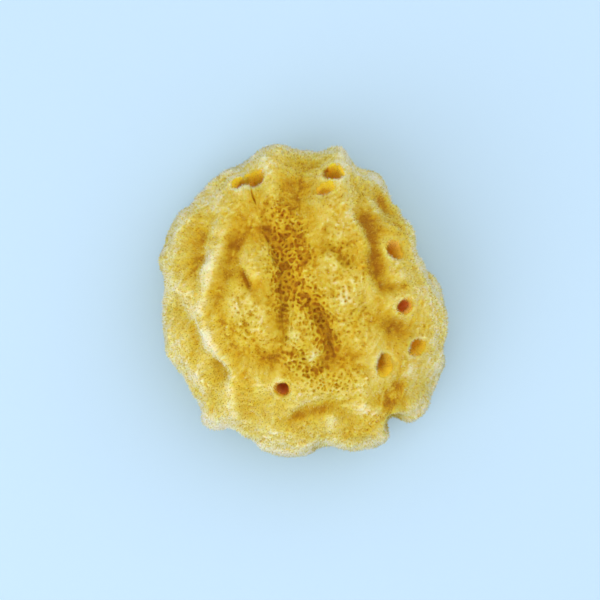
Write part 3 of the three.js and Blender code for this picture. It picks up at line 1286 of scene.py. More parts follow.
@dataclass
class SpongeBody:
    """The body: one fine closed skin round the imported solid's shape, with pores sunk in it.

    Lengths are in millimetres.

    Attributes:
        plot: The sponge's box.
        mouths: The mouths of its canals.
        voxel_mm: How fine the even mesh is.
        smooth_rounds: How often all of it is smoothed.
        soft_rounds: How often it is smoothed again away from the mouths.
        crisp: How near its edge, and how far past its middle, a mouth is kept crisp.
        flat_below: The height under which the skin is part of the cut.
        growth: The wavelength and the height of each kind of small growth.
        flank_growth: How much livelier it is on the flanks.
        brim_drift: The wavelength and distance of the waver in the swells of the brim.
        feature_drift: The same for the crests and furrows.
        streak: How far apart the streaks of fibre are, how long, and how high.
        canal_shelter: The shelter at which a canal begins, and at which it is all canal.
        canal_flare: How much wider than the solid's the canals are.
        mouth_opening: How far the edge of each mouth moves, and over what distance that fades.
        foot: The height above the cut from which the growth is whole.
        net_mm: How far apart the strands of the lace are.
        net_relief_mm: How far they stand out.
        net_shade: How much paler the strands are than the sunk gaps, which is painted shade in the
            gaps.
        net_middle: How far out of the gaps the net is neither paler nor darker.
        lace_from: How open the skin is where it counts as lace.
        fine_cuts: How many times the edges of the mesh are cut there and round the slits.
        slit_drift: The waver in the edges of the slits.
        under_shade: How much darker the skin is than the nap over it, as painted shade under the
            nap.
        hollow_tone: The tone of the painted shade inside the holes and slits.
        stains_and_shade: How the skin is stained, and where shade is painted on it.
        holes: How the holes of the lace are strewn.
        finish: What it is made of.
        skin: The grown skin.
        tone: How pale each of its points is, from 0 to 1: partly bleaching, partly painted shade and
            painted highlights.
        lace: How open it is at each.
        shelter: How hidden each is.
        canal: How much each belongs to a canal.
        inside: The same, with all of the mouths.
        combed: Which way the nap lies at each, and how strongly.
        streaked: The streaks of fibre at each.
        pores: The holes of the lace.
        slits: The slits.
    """

    plot: Plot
    mouths: list[Mouth]
    voxel_mm: float = 1.1
    smooth_rounds: int = 2
    soft_rounds: int = 1
    crisp: Pair = (3.0, 14.0)
    flat_below: float = 0.5
    growth: tuple[Pair, ...] = ((12.0, 0.5), (6.0, 0.45), (2.4, 0.2))
    flank_growth: float = 1.0
    brim_drift: Pair = (15.0, 4.0)
    feature_drift: Pair = (6.0, 1.3)
    streak: tuple[float, float, float] = (1.3, 7.0, 0.22)
    canal_shelter: Pair = (0.42, 0.6)
    canal_flare: float = 0.8
    mouth_opening: Pair = (0.6, 3.0)
    foot: float = 6
    net_mm: float = 1.6
    net_relief_mm: float = 0.4
    net_shade: float = 0.3
    net_middle: float = 0.6
    lace_from: float = 0.22
    fine_cuts: int = 2
    slit_drift: Pair = (4.0, 0.5)
    under_shade: float = 0.1
    hollow_tone: float = 0.07
    stains_and_shade: StainsAndPaintedShade = StainsAndPaintedShade()
    holes: Holes = Holes()
    finish: CuredSponginNet = CuredSponginNet()
    skin: Skin | None = None
    tone: np.ndarray | None = None
    lace: np.ndarray | None = None
    shelter: np.ndarray | None = None
    canal: np.ndarray | None = None
    inside: np.ndarray | None = None
    combed: np.ndarray | None = None
    streaked: np.ndarray | None = None
    pores: list[Pore] = field(default_factory=list)
    slits: list[Slit] = field(default_factory=list)

    def build(self, solid: bpy.types.Object) -> bpy.types.Object:
        """Builds the body.

        Args:
            solid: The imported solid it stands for.

        Returns:
            The finished piece.
        """
        mesh = self.block_out(solid)
        self.grow(mesh)
        self.stain_and_paint_light()
        self.work_fine(mesh)
        self.unwrap(mesh)
        mesh.name = "sponge_body"
        mesh.materials.clear()
        mesh.materials.append(self.finish.material())
        mesh.shade_smooth()
        return add_object("sponge_body", mesh)

    def block_out(self, solid: bpy.types.Object) -> bpy.types.Mesh:
        """Rounds a merged copy of the solid, and gives it an even fine mesh and a flat cut.

        Args:
            solid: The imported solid.

        Returns:
            The mesh, in metres.
        """
        form = merged(solid)
        rough = bpy.data.meshes.new("rough")
        form.to_mesh(rough)
        form.free()
        stand_in = add_object("rough", rough)
        rounding = stand_in.modifiers.new("rounding", "SUBSURF")
        rounding.levels = rounding.render_levels = 1
        remesh = stand_in.modifiers.new("fine skin", "REMESH")
        remesh.mode, remesh.voxel_size = "VOXEL", self.voxel_mm * MM
        shape = stand_in.evaluated_get(bpy.context.evaluated_depsgraph_get())
        mesh = bpy.data.meshes.new_from_object(shape)
        bpy.data.objects.remove(stand_in)
        form = bmesh.new()
        form.from_mesh(mesh)
        points = np.array([vert.co for vert in form.verts]) / MM
        crisp = np.zeros(len(points), bool)
        beside, past = self.crisp
        for mouth in self.mouths:
            numbers, _, gaps = mouth.nearest(points, past)
            crisp[numbers[(gaps < beside) | mouth.holds(points[numbers])]] = True
        soft = [vert for vert, keep in zip(form.verts, crisp) if not keep]
        axes = {f"use_axis_{axis}": True for axis in "xyz"}
        for verts, rounds in ((form.verts, self.smooth_rounds), (soft, self.soft_rounds)):
            for _ in range(rounds):
                bmesh.ops.smooth_vert(form, verts=verts, factor=0.5, **axes)
        for vert in form.verts:
            if vert.co.z < self.flat_below * MM:
                vert.co.z = 0.0
        cut = [face for face in form.faces if all(vert.co.z == 0.0 for vert in face.verts)]
        bmesh.ops.delete(form, geom=cut, context="FACES")
        brim = [edge for edge in form.edges if edge.is_boundary]
        bmesh.ops.holes_fill(form, edges=brim, sides=0)
        form.to_mesh(mesh)
        form.free()
        return mesh

    def grow(self, mesh: bpy.types.Mesh) -> None:
        """Adds the small growth, and the crests and furrows that the solid is too coarse for.

        Args:
            mesh: The even fine mesh, which is reshaped.
        """
        shelter_rounds, slope_rounds = 2, 8
        level, steep = 0.02, 0.25
        skin = Skin.of(mesh)
        self.shelter = skin.spread(skin.shelter(), shelter_rounds)
        self.canal = smoothstep(self.shelter, *self.canal_shelter)
        height = sum(
            share * wandering(skin.points, wavelength, Patch.GROWTH, i)
            for i, (wavelength, share) in enumerate(self.growth)
        )
        flank = skin.flank()
        height *= 1 + self.flank_growth * flank
        wavering = drifted(skin.points, self.brim_drift)[:, :2]
        for swell in BRIM:
            place = np.array(self.plot.over(swell.place))[:2]
            gaps = np.linalg.norm(wavering - place, axis=1)
            height += swell.size * flank * bell(gaps, swell.width)
        places = drifted(skin.points, self.feature_drift)
        for feature in FEATURES:
            if feature.kind in (Kind.CREST, Kind.FURROW):
                line = self.plot.run(feature.path, skin.tree)
                way = 1 if feature.kind is Kind.CREST else -1
                height += way * feature.size * nearness(places, line, feature.width)
        folds = skin.spread(skin.relief(FOLDS), slope_rounds)
        slope = skin.spread(skin.uphill(folds), slope_rounds)
        steepness = np.linalg.norm(slope, axis=1)[:, None]
        self.combed = unit(slope) * smoothstep(steepness, level, steep)
        width, length, rise = self.streak
        self.streaked = streaks(skin.points, self.combed, width, length)
        height += rise * self.streaked
        height += (-self.canal_flare - height) * self.canal
        height *= smoothstep(skin.points[:, 2], 0, self.foot)
        skin.points += skin.normals * height[:, None]
        self.mouths = [mouth.open_wider(skin.points, *self.mouth_opening) for mouth in self.mouths]
        mesh.vertices.foreach_set("co", (skin.points * MM).ravel())
        mesh.update()
        self.skin = Skin.of(mesh)

    def stain_and_paint_light(self) -> None:
        """Works out the tone of the skin, from 0 to 1: bleaching and marks, with painted shade where
        it is sheltered, low on the flanks and in the hollows, and painted highlights on the crests.
        """
        skin, how = self.skin, self.stains_and_shade
        streaked = how.streaked * self.streaked
        # Painted shade: sheltered skin is darker.
        tone = how.plain - how.sheltered * self.shelter + streaked
        # Partly bleaching, partly painted highlight and shade: what stands out of the smoothed skin
        # is paler, what sinks darker.
        for rounds, share, least, most in how.reliefs:
            tone += share * np.clip(skin.relief(rounds), least, most)
        # Painted shade: the flanks are darker towards their foot and where they are sheltered.
        foot_tone, paler = how.flank
        shaded_flank_tone = foot_tone + paler * smoothstep(skin.points[:, 2], *how.flank_heights)
        shaded_flank_tone += streaked - how.flank_sheltered * self.shelter
        tone += (shaded_flank_tone - tone) * how.flank_share * skin.flank()
        for patch, (wavelength, share) in (
            (Patch.BROAD_MOTTLE, how.broad_mottle),
            (Patch.SMALL_MOTTLE, how.small_mottle),
        ):
            tone += share * wandering(skin.points, wavelength, patch)
        tone = how.plain + how.contrast * (tone - how.pivot)
        self.inside = self.canal.copy()
        for mouth in self.mouths:
            held = mouth.holds(skin.points)
            self.inside[held] = 1.0
            self.combed[held] = mouth.outward
        # Partly painted light: the canals take the lining's tone, painted bright for light that
        # filters through the net.
        tone += (how.lining - tone) * self.inside
        places = skin.points
        for drift in how.drifts:
            places = drifted(places, drift)
        # The features' tints: real marks and bleaching, with painted shade in the hollows and
        # painted highlights on crests and humps.
        for feature in FEATURES:
            if feature.kind is not Kind.SLIT:
                line = self.plot.run(feature.path, skin.tree)
                tone += feature.tint * nearness(places, line, feature.spread)
        tone = np.maximum(tone, LEAST_TONE + how.give * np.maximum(tone, 0))
        # Painted light: in the red canals the tone falls to the brightest orange of the lining.
        for canal in RED_CANALS:
            mouth = self.plot.run((canal.mouth,), skin.tree)
            tone *= 1 - self.inside * nearness(skin.points, mouth, canal.reach)
        self.tone = np.clip(tone, 0.0, 1)
        stretches = [
            patch.openness * nearness(places, self.plot.run(patch.path, skin.tree), patch.spread)
            for patch in LACE
        ]
        self.lace = np.max(stretches, axis=0)

    def work_fine(self, mesh: bpy.types.Mesh) -> None:
        """Cuts the skin finer where it is lace or slit, sinks the holes and the slits, and paints
        shade into them and into the gaps of the net.

        Args:
            mesh: The grown mesh, which is reshaped and given its tones.
        """
        slit_step, slit_reach, slit_from = 0.3, 1.6, 0.2
        form = bmesh.new()
        form.from_mesh(mesh)
        tones, canals = form.verts.layers.float.new(TONE), form.verts.layers.float.new(CANAL)
        form.verts.ensure_lookup_table()
        slits = [
            (feature, self.plot.run(feature.path, self.skin.tree, slit_step))
            for feature in FEATURES
            if feature.kind is Kind.SLIT
        ]
        fine = self.lace > self.lace_from
        for _, line in slits:
            fine |= nearness(self.skin.points, line, slit_reach) > slit_from
        # Painted shade: the skin under the nap is darker than the nap, outside the canals.
        under = self.tone - self.under_shade * (1 - self.inside)
        shaded = np.maximum(under, np.minimum(self.tone, LEAST_TONE))
        for vert, tone, share in zip(form.verts, shaded, self.inside):
            vert[tones], vert[canals] = tone, share
        worked = [face for face in form.faces if any(fine[v.index] for v in face.verts)]
        edges = list({edge for face in worked for edge in face.edges})
        bmesh.ops.subdivide_edges(form, edges=edges, cuts=self.fine_cuts, use_grid_fill=True)
        form.normal_update()
        near = sorted_tree(self.skin.points)
        found = [(vert, near.find(vert.co / MM)[1]) for vert in form.verts]
        verts, olds = zip(*[(vert, i) for vert, i in found if fine[i]])
        points = np.array([vert.co for vert in verts]) / MM
        normals = np.array([vert.normal for vert in verts])
        lace = self.lace[list(olds)]
        net = strands(points, self.net_mm)
        sunk, hollow = self.strew(points, normals, lace, self.combed[list(olds)], net)
        sunk += self.net_relief_mm * lace * (1 - net)
        wavering = drifted(points, self.slit_drift)
        for feature, line in slits:
            share = nearness(wavering, line, feature.width)
            sunk = np.maximum(sunk, feature.size * share)
            hollow = np.maximum(hollow, feature.tint * share)
            self.slits.append(Slit(line, feature.width))
        moved = points - normals * sunk[:, None]
        # Painted shade: the gaps of the lace's net, and the holes and slits, are darkened.
        shades = self.net_shade * lace * (net - self.net_middle)
        for vert, place, dark, shade in zip(verts, moved.tolist(), hollow, shades):
            vert.co = Vector(place) * MM
            vert[tones] = max(vert[tones] + shade, min(vert[tones], LEAST_TONE))
            vert[tones] += (self.hollow_tone - vert[tones]) * dark
        form.to_mesh(mesh)
        form.free()

    def strew(
        self,
        points: np.ndarray,
        normals: np.ndarray,
        lace: np.ndarray,
        ways: np.ndarray,
        net: np.ndarray,
    ) -> tuple[np.ndarray, np.ndarray]:
        """Strews the holes of the lace in the gaps of its net, stretched across the nap's comb.

        Args:
            points: The points of the finely cut skin.
            normals: The way out at each.
            lace: How open the lace is at each.
            ways: Which way the nap is combed at each.
            net: Where the strands of the net run, at 1.

        Returns:
            How far each point is sunk, and how much painted shade darkens it for lying in a hole,
            from 0 to 1.
        """
        how, draws = self.holes, np.random.default_rng(HOLE_SEED)
        numbers = draws.permutation(np.flatnonzero(lace > self.lace_from))[: how.most]
        numbers = numbers[np.argsort(net[numbers] + how.stray * draws.random(len(numbers)))]
        spacing = how.spacing * varied(draws, how.spacings, len(numbers))
        centres = numbers[thinned(points[numbers], spacing)]
        radii = how.radius * varied(draws, how.radii, len(centres))
        opened = smoothstep(lace[centres], self.lace_from, how.open)
        radii *= how.small + (1 - how.small) * opened
        along_slope = np.cross(normals[centres], ways[centres])
        stretch = unit(along_slope + how.waver * draws.normal(size=(len(centres), 3)))
        tree = sorted_tree(points[centres])
        sunk = np.zeros(len(points))
        for number, place in enumerate(drifted(points, how.drift)):
            for centre, i, _ in tree.find_range(place, how.reach):
                offset = place - np.array(centre)
                along = offset @ stretch[i]
                squared = offset @ offset - how.stretch * along * along
                gap = math.sqrt(max(0.0, squared)) / radii[i]
                sunk[number] = max(sunk[number], how.steepness * (how.lip - gap))
        sunk = np.clip(sunk, 0, 1)
        self.pores = [Pore(Vector(points[c]), radius) for c, radius in zip(centres, radii)]
        return how.depth * sunk, how.darkness * np.sqrt(sunk)

    def unwrap(self, mesh: bpy.types.Mesh) -> None:
        """Lays the skin out flat round its crown, and the cut beside it.

        Args:
            mesh: The finished mesh, which is given the map.
        """
        skin_middle, skin_radius = [0.42, 0.58], 0.42
        cut_middle, cut_size, cut_width_mm = [0.87, 0.14], 0.26, 160
        cut_below = 0.3
        points = read(mesh.vertices, "co", 3) / MM
        ways = unit(points - GROWTH_CENTRE)
        polar = np.arccos(np.clip(ways[:, 2], -1, 1)) / math.pi
        bearing = np.arctan2(ways[:, 1], ways[:, 0])
        round_crown = np.stack([np.cos(bearing), np.sin(bearing)], axis=1) * polar[:, None]
        domed = round_crown * skin_radius + skin_middle
        flat = points[:, :2] / cut_width_mm * cut_size + cut_middle
        corners = read(mesh.loops, "vertex_index", kind=int)
        sizes = read(mesh.polygons, "loop_total", kind=int)
        face_of_corner = np.repeat(np.arange(len(sizes)), sizes)
        highest = np.zeros(len(sizes))
        np.maximum.at(highest, face_of_corner, points[corners, 2])
        on_cut = highest[face_of_corner] < cut_below
        uv = np.where(on_cut[:, None], flat[corners], domed[corners])
        layer = mesh.uv_layers.new(name=UV_MAP)
        layer.uv.foreach_set("vector", uv.astype(np.float32).ravel())


# -------------------------------------------------------------------------------------------------
# The nap
# -------------------------------------------------------------------------------------------------

ROOTED = 0.3  # how deep the bristles are set in the skin, in millimetres


@dataclass(frozen=True)
class Bristle:
    """One free end of fibre: a slim three-sided point, rooted at 0 and ending at 1."""

    sides: int = 3

    def shape(self) -> tuple[np.ndarray, np.ndarray]:
        """Makes it once.

        Returns:
            Its points, as across, across and along, and its triangles.
        """
        form = bmesh.new()
        bmesh.ops.create_cone(
            form,
            cap_ends=True,
            cap_tris=False,
            segments=self.sides,
            radius1=1.0,
            radius2=0.0,
            depth=1.0,
            matrix=Matrix.Translation((0, 0, 0.5)),
        )
        bmesh.ops.remove_doubles(form, verts=form.verts, dist=1e-4)
        bmesh.ops.triangulate(form, faces=form.faces)
        bmesh.ops.recalc_face_normals(form, faces=form.faces)
        form.verts.index_update()
        points = np.array([vert.co for vert in form.verts])
        faces = np.array([[vert.index for vert in face.verts] for face in form.faces])
        form.free()
        return points, faces


@dataclass
class Fibres:
    """Bristles to be made.

    Attributes:
        roots: Where each is rooted, in millimetres.
        tips: Where each ends.
        radii: How thick each root is.
        tones: How pale each is, from 0 to 1, painted shade included.
    """

    roots: np.ndarray
    tips: np.ndarray
    radii: np.ndarray
    tones: np.ndarray

    def taken(self, chosen: np.ndarray) -> "Fibres":
        """Some of these bristles."""
        return Fibres(self.roots[chosen], self.tips[chosen], self.radii[chosen], self.tones[chosen])

    def piece(self, name: str, material: bpy.types.Material) -> bpy.types.Object:
        """Makes one joined piece of them.

        Args:
            name: The piece's name.
            material: Its finish.

        Returns:
            The piece.
        """
        above_cut, map_low, map_high = 0.02, 0.02, 0.98
        pattern, faces = Bristle().shape()
        count, along = len(self.roots), pattern[:, 2][None, :, None]
        spine = self.roots[:, None, :] * (1 - along) + self.tips[:, None, :] * along
        first, second = across(unit(self.tips - self.roots))
        offset = pattern[None, :, 0:1] * first[:, None, :]
        offset = offset + pattern[None, :, 1:2] * second[:, None, :]
        points = spine + offset * self.radii[:, None, None]
        points[:, :, 2] = np.maximum(points[:, :, 2], above_cut)
        corners = (faces[None] + len(pattern) * np.arange(count)[:, None, None]).ravel()
        mesh = bpy.data.meshes.new(name)
        mesh.vertices.add(count * len(pattern))
        mesh.vertices.foreach_set("co", (points * MM).astype(np.float32).ravel())
        mesh.loops.add(len(corners))
        mesh.loops.foreach_set("vertex_index", corners.astype(np.int32))
        mesh.polygons.add(len(corners) // 3)
        mesh.polygons.foreach_set("loop_start", np.arange(0, len(corners), 3, dtype=np.int32))
        mesh.update(calc_edges=True)
        layer = mesh.uv_layers.new(name=UV_MAP)
        share = np.clip(pattern[faces.ravel(), 2], map_low, map_high)
        tones = np.clip(self.tones, map_low, map_high)
        uv = np.stack([np.tile(share, count), np.repeat(tones, faces.size)], axis=1)
        layer.uv.foreach_set("vector", uv.astype(np.float32).ravel())
        mesh.materials.append(material)
        mesh.shade_smooth()
        return add_object(name, mesh)


@dataclass(frozen=True)
class Pits:
    """The small pits that the tufts leave open all over the skin.

    Attributes:
        tried: How many places are tried.
        spacing_mm: How far apart they are on average.
        spacings: The least share of that, and how much more it may be.
        radius_mm: How wide they are on average.
        radii: The least share of that, and how much more it may be.
        shade: How much darker the tufts are at their edge, as painted shade round the pits.
        edge_mm: How far outside them the tufts begin to be paler, and are as pale as the rest.
    """

    tried: int = 40000
    spacing_mm: float = 2.5
    spacings: Pair = (0.7, 0.6)
    radius_mm: float = 0.85
    radii: Pair = (0.7, 0.5)
    shade: float = 0.34
    edge_mm: Pair = (0.05, 0.5)

    def chosen(self, points: np.ndarray, draws: np.random.Generator) -> list[Pore]:
        """Chooses the pits.

        Args:
            points: Places strewn over the skin.
            draws: The random draws.

        Returns:
            The pits.
        """
        some = draws.permutation(len(points))[: self.tried]
        spacing = self.spacing_mm * varied(draws, self.spacings, len(some))
        kept = some[thinned(points[some], spacing)]
        radii = self.radius_mm * varied(draws, self.radii, len(kept))
        return [Pore(Vector(point), radius) for point, radius in zip(points[kept], radii)]


@dataclass
class Nap:
    """The nap: tufts of bristles whose points dry together, combed up towards the crests.

    Attributes:
        body: The body it stands on.
        pits: The pits it leaves open.
        tries: How many places are tried for each square of the spacing.
        spacing_mm: How far apart the tufts are.
        lace_spacing: How much further apart they are on open lace, as a share.
        bristles: How many bristles a tuft has.
        length_mm: How long they are.
        lace_length_mm: How long they are on open lace.
        lengths: The least share of that a tuft has, and how much more it may be.
        heights: The same for each of its bristles.
        canal_loss: How much shorter they are inside a canal, as a share.
        comb: How far they lean where they are combed most.
        comb_loss: How much less they stand up there.
        comb_gain: How much longer they are there.
        comb_stretch: How much longer a tuft's foot is there than it is wide.
        foot: How far from its middle a tuft is rooted, as a share of the spacing.
        feet: The least share of that, and how much more it may be.
        gathered: How far apart the points are, as a share of the roots.
        stray_lean: How far the tufts stray from their lean.
        stray_tip_mm: How far the points stray.
        stray_tone: How far the tones stray.
        net_shade: How much the strands of the net count in their tone, and how much more on lace:
            the tufts over the gaps get painted shade.
        net_middle: How far out of the gaps the net is neither paler nor darker.
        girth_mm: How thick a bristle's root is.
        girths: The least share of that, and how much more it may be.
    """

    body: SpongeBody
    pits: Pits = Pits()
    tries: float = 3.2
    spacing_mm: float = 0.7
    lace_spacing: float = 0.2
    bristles: int = 5
    length_mm: float = 1.0
    lace_length_mm: float = 0.6
    lengths: Pair = (0.75, 0.5)
    heights: Pair = (0.7, 0.45)
    canal_loss: float = 0.5
    comb: float = 0.45
    comb_loss: float = 0.7
    comb_gain: float = 0.35
    comb_stretch: float = 0.5
    foot: float = 0.5
    feet: Pair = (0.5, 0.7)
    gathered: float = 0.3
    stray_lean: float = 0.15
    stray_tip_mm: float = 0.1
    stray_tone: float = 0.03
    net_shade: Pair = (0.65, 0.5)
    net_middle: float = 0.75
    girth_mm: float = 0.11
    girths: Pair = (0.8, 0.4)

    def fibres(self) -> Fibres:
        """Plants the tufts.

        Returns:
            Their bristles.
        """
        canal_from, cut_height, facing_down = 0.8, 1.0, -0.9
        beside_pore, beside_slit, slit_from = 0.1, 0.2, 0.4
        body, skin = self.body, self.body.skin
        draws = np.random.default_rng(NAP_SEED)
        corners = skin.points[skin.faces]
        sides = corners[:, 1:] - corners[:, :1]
        area = np.linalg.norm(np.cross(sides[:, 0], sides[:, 1]), axis=1) / 2
        count = int(self.tries * area.sum() / self.spacing_mm**2)
        chosen = draws.choice(len(area), count, p=area / area.sum())
        share = np.sort(draws.random((count, 2)), axis=1)
        weights = np.stack([share[:, 0], share[:, 1] - share[:, 0], 1 - share[:, 1]], axis=1)
        points = np.einsum("ij,ijk->ik", weights, corners[chosen])
        vertex = skin.faces[chosen, 0]
        open_skin = (body.canal[vertex] < canal_from) & (points[:, 2] > cut_height)
        open_skin &= skin.normals[vertex, 2] > facing_down
        outside = self.outside(self.pits.chosen(points, draws), points)
        open_skin &= (self.outside(body.pores, points) > beside_pore) & (outside > 0)
        for slit in body.slits:
            open_skin &= nearness(points, slit.line, slit.width + beside_slit) < slit_from
        points, vertex, outside = points[open_skin], vertex[open_skin], outside[open_skin]
        kept = thinned(points, self.spacing_mm * (1 + self.lace_spacing * body.lace[vertex]))
        return self.tufts(points[kept], vertex[kept], outside[kept], draws)

    @staticmethod
    def outside(pores: list[Pore], points: np.ndarray) -> np.ndarray:
        """Finds how far each point is outside the nearest pore.

        Args:
            pores: The pores.
            points: Any points.

        Returns:
            The distances in millimetres, less than 0 inside.
        """
        tree = sorted_tree([pore.middle for pore in pores])
        found = [tree.find(point) for point in points]
        return np.array([gap - pores[i].radius for _, i, gap in found])

    def tufts(
        self,
        points: np.ndarray,
        vertex: np.ndarray,
        outside: np.ndarray,
        draws: np.random.Generator,
    ) -> Fibres:
        """Makes the bristles of the tufts that stand at some points of the skin.

        Args:
            points: Where the tufts stand.
            vertex: The nearest point of the skin to each.
            outside: How far each stands outside the nearest pit.
            draws: The random draws.

        Returns:
            Their bristles.
        """
        body, normal, each = self.body, self.body.skin.normals[vertex], self.bristles
        lace, way = body.lace[vertex], body.combed[vertex]
        combed = self.comb * np.linalg.norm(way, axis=1, keepdims=True)
        along = unit(way + 1e-6)
        aside = np.cross(normal, along)
        lean = normal * (1 - self.comb_loss * combed) + along * combed
        lean = unit(lean + self.stray_lean * draws.normal(size=normal.shape))
        length = self.length_mm + (self.lace_length_mm - self.length_mm) * lace
        length *= varied(draws, self.lengths, len(points))
        length *= 1 + self.comb_gain * combed[:, 0]
        length *= 1 - self.canal_loss * body.inside[vertex]
        shape = (len(points), each)
        turn = (2 * math.pi * (np.arange(each) + draws.random(shape)) / each)[..., None]
        reach = self.foot * self.spacing_mm * varied(draws, self.feet, shape)
        stretch = 1 + self.comb_stretch * combed
        long_way, short_way = (along * stretch)[:, None, :], (aside / stretch)[:, None, :]
        foot = reach[..., None] * (np.cos(turn) * long_way + np.sin(turn) * short_way)
        height = length[:, None, None] * varied(draws, self.heights, (*shape, 1))
        roots = points[:, None, :] + foot - ROOTED * normal[:, None, :]
        tips = points[:, None, :] + self.gathered * foot + height * lean[:, None, :]
        tips += self.stray_tip_mm * draws.normal(size=tips.shape)
        tone = body.tone[vertex] + self.stray_tone * draws.normal(size=len(points))
        # Painted shade: tufts over the gaps of the net and round the pits are darker.
        least, more = self.net_shade
        net = strands(points, body.net_mm) - self.net_middle
        tone += body.net_shade * (least + more * lace) * net
        tone -= self.pits.shade * (1 - smoothstep(outside, *self.pits.edge_mm))
        tone = np.maximum(tone, np.minimum(body.tone[vertex], LEAST_TONE))
        tones = tone[:, None] + self.stray_tone * draws.normal(size=shape)
        radii = self.girth_mm * varied(draws, self.girths, shape)
        return Fibres(roots.reshape(-1, 3), tips.reshape(-1, 3), radii.ravel(), tones.ravel())


class Region(Enum):
    """Where the nap is parted, so that each piece stays light: a crown and six flanks."""

    CROWN = "crown"
    RIGHT = "right"
    BACK_RIGHT = "back_right"
    BACK_LEFT = "back_left"
    LEFT = "left"
    FRONT_LEFT = "front_left"
    FRONT_RIGHT = "front_right"

    @staticmethod
    def of(points: np.ndarray, crown_mm: float = 38.0) -> np.ndarray:
        """Finds the region that each point is in.

        Args:
            points: The points.
            crown_mm: How far from the middle the crown reaches.

        Returns:
            The regions' numbers.
        """
        flanks = len(Region) - 1
        bearing = np.arctan2(points[:, 1], points[:, 0]) % (2 * math.pi)
        flank = 1 + (bearing / (2 * math.pi / flanks)).astype(int) % flanks
        on_crown = np.hypot(points[:, 0], points[:, 1]) < crown_mm
        return np.where(on_crown, 0, flank)


@dataclass
class MouthFringe:
    """The fringe: stiff points that stand round the mouth of each canal and lean over it.

    Attributes:
        body: The body it stands on.
        length_mm: How long the points are.
        lengths: The least share of that, and how much more it may be.
        girth_mm: How thick their roots are.
        girths: The least share of that, and how much more it may be.
        leans: How far they lean outwards, and over the mouth.
        stray_lean: How far they stray from that.
        stray_tone: How far their tones stray from the skin's.
    """

    body: SpongeBody
    length_mm: float = 0.9
    lengths: Pair = (0.4, 0.9)
    girth_mm: float = 0.13
    girths: Pair = (0.8, 0.4)
    leans: Pair = (0.75, 0.5)
    stray_lean: float = 0.22
    stray_tone: float = 0.08

    def fibres(self) -> Fibres:
        """Makes the points of all the fringes.

        Returns:
            The points.
        """
        skin, draws = self.body.skin, np.random.default_rng(FRINGE_SEED)
        mouths = self.body.mouths
        brims = np.concatenate([mouth.brim for mouth in mouths])
        found = [skin.tree.find_nearest(place) for place in brims]
        roots = np.array([place for place, _, _, _ in found])
        vertex = skin.faces[[face for _, _, face, _ in found], 0]
        inward = np.concatenate([mouth.inward for mouth in mouths])
        outward = np.concatenate([np.tile(mouth.outward, (len(mouth.brim), 1)) for mouth in mouths])
        out, over = self.leans
        stray = self.stray_lean * draws.normal(size=roots.shape)
        leans = unit(out * outward + over * inward + stray)
        tips = roots + leans * self.length_mm * varied(draws, self.lengths, (len(roots), 1))
        radii = self.girth_mm * varied(draws, self.girths, len(roots))
        tones = self.body.tone[vertex] + self.stray_tone * draws.normal(size=len(roots))
        return Fibres(roots - ROOTED * leans, tips, radii, tones)


# -------------------------------------------------------------------------------------------------
# The studio
# -------------------------------------------------------------------------------------------------


@dataclass(frozen=True)
class SoftLight:
    """A square soft light.

    Attributes:
        name: What it is called.
        place: Where it hangs, in metres.
        side: How wide it is, in metres.
        power: Its power, in watts.
    """

    name: str
    place: tuple[float, float, float]
    side: float
    power: float

    def build(self) -> None:
        """Hangs the light, facing the sponge."""
        light = bpy.data.lights.new(self.name, "AREA")
        light.shape, light.size, light.energy = "SQUARE", self.side, self.power
        lamp = add_object(self.name, light)
        lamp.location = self.place
        lamp.rotation_mode = "QUATERNION"
        lamp.rotation_quaternion = Vector(self.place).to_track_quat("Z", "Y")


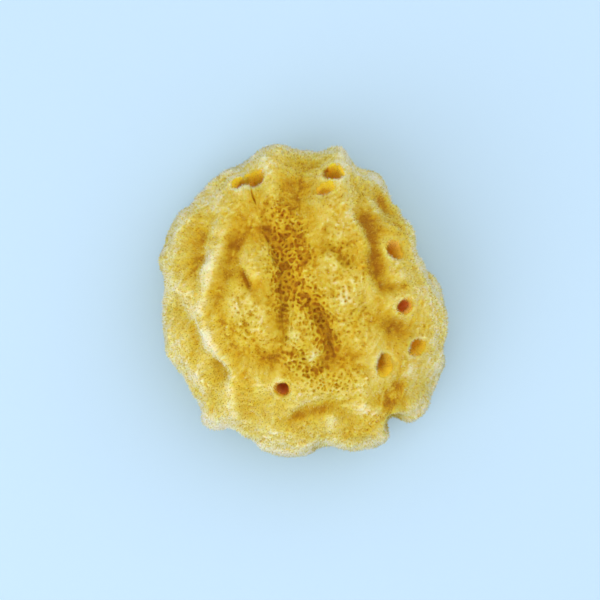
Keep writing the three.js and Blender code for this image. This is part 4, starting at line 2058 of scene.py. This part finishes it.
@dataclass
class Studio:
    """The studio: a paper floor, soft lights, a pale room, and the camera straight above.

    Attributes:
        floor_radius: How wide the floor reaches, in metres.
        floor_sides: How many sides its round edge has.
        paper: What the floor is made of.
        lens_mm: The focal length of the camera's lens.
        camera_place_mm: Where the camera is, looking straight down.
        room_colour: The colour of the room's light.
        room_strength: How bright that is.
        lights: The lights.
    """

    floor_radius: float = 3.0
    floor_sides: int = 96
    paper: StudioPaper = StudioPaper()
    lens_mm: float = 85.0
    camera_place_mm: tuple[float, float, float] = (-1.61, 0.92, 680.0)
    room_colour: str = "#f2f0ea"
    room_strength: float = 1.06
    lights: tuple[SoftLight, ...] = (
        SoftLight("key", (-0.72, -0.6, 0.95), 1.1, 5.6),
        SoftLight("fill", (0.75, 0.55, 1.0), 1.2, 3.3),
    )

    def build(self) -> None:
        """Builds the studio."""
        self.lay_floor()
        for light in self.lights:
            light.build()
        self.light_room()
        self.place_camera()

    def lay_floor(self) -> None:
        """Lays the paper floor."""
        form = bmesh.new()
        bmesh.ops.create_circle(
            form, cap_ends=True, segments=self.floor_sides, radius=self.floor_radius
        )
        mesh = bpy.data.meshes.new("floor")
        form.to_mesh(mesh)
        form.free()
        mesh.materials.append(self.paper.material())
        floor = add_object("floor", mesh)

    def light_room(self) -> None:
        """Fills the room with an even pale light."""
        world = bpy.data.worlds.new("room")
        world.use_nodes = True
        world.node_tree.nodes.clear()
        sky = add_node(
            world.node_tree,
            "ShaderNodeBackground",
            sockets={"Color": linear(self.room_colour), "Strength": self.room_strength},
        )
        add_node(world.node_tree, "ShaderNodeOutputWorld", sockets={"Surface": sky.outputs[0]})
        bpy.context.scene.world = world

    def place_camera(self) -> None:
        """Places the camera, and has it show colours as they are."""
        lens = bpy.data.cameras.new("camera")
        lens.lens = self.lens_mm
        camera = add_object("camera", lens)
        camera.location = Vector(self.camera_place_mm) * MM
        bpy.context.scene.camera = camera
        bpy.context.scene.view_settings.view_transform = "Standard"


# -------------------------------------------------------------------------------------------------
# The whole
# -------------------------------------------------------------------------------------------------


def put(piece: bpy.types.Object) -> None:
    """Puts a finished piece on the sponge's body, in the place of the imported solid.

    Args:
        piece: The piece.
    """
    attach(piece, "root")
    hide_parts("sponge")
    log.info("%s: %d faces", piece.name, len(piece.data.polygons))


def main() -> None:
    """Builds the sponge and the studio."""
    logging.basicConfig(level=logging.INFO, format="%(name)s: %(message)s")
    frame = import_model()
    solid = frame["nodes"]["sponge"]
    Studio().build()
    body = SpongeBody(Plot(*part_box("sponge")), Mouth.all_of(solid))
    put(body.build(solid))
    nap = Nap(body).fibres()
    material = SponginFibre().material()
    regions = Region.of(nap.roots)
    for number, region in enumerate(Region):
        put(nap.taken(regions == number).piece(f"nap_{region.value}", material))
    put(MouthFringe(body).fibres().piece("mouth_fringe", material))


if __name__ == "__main__":
    main()
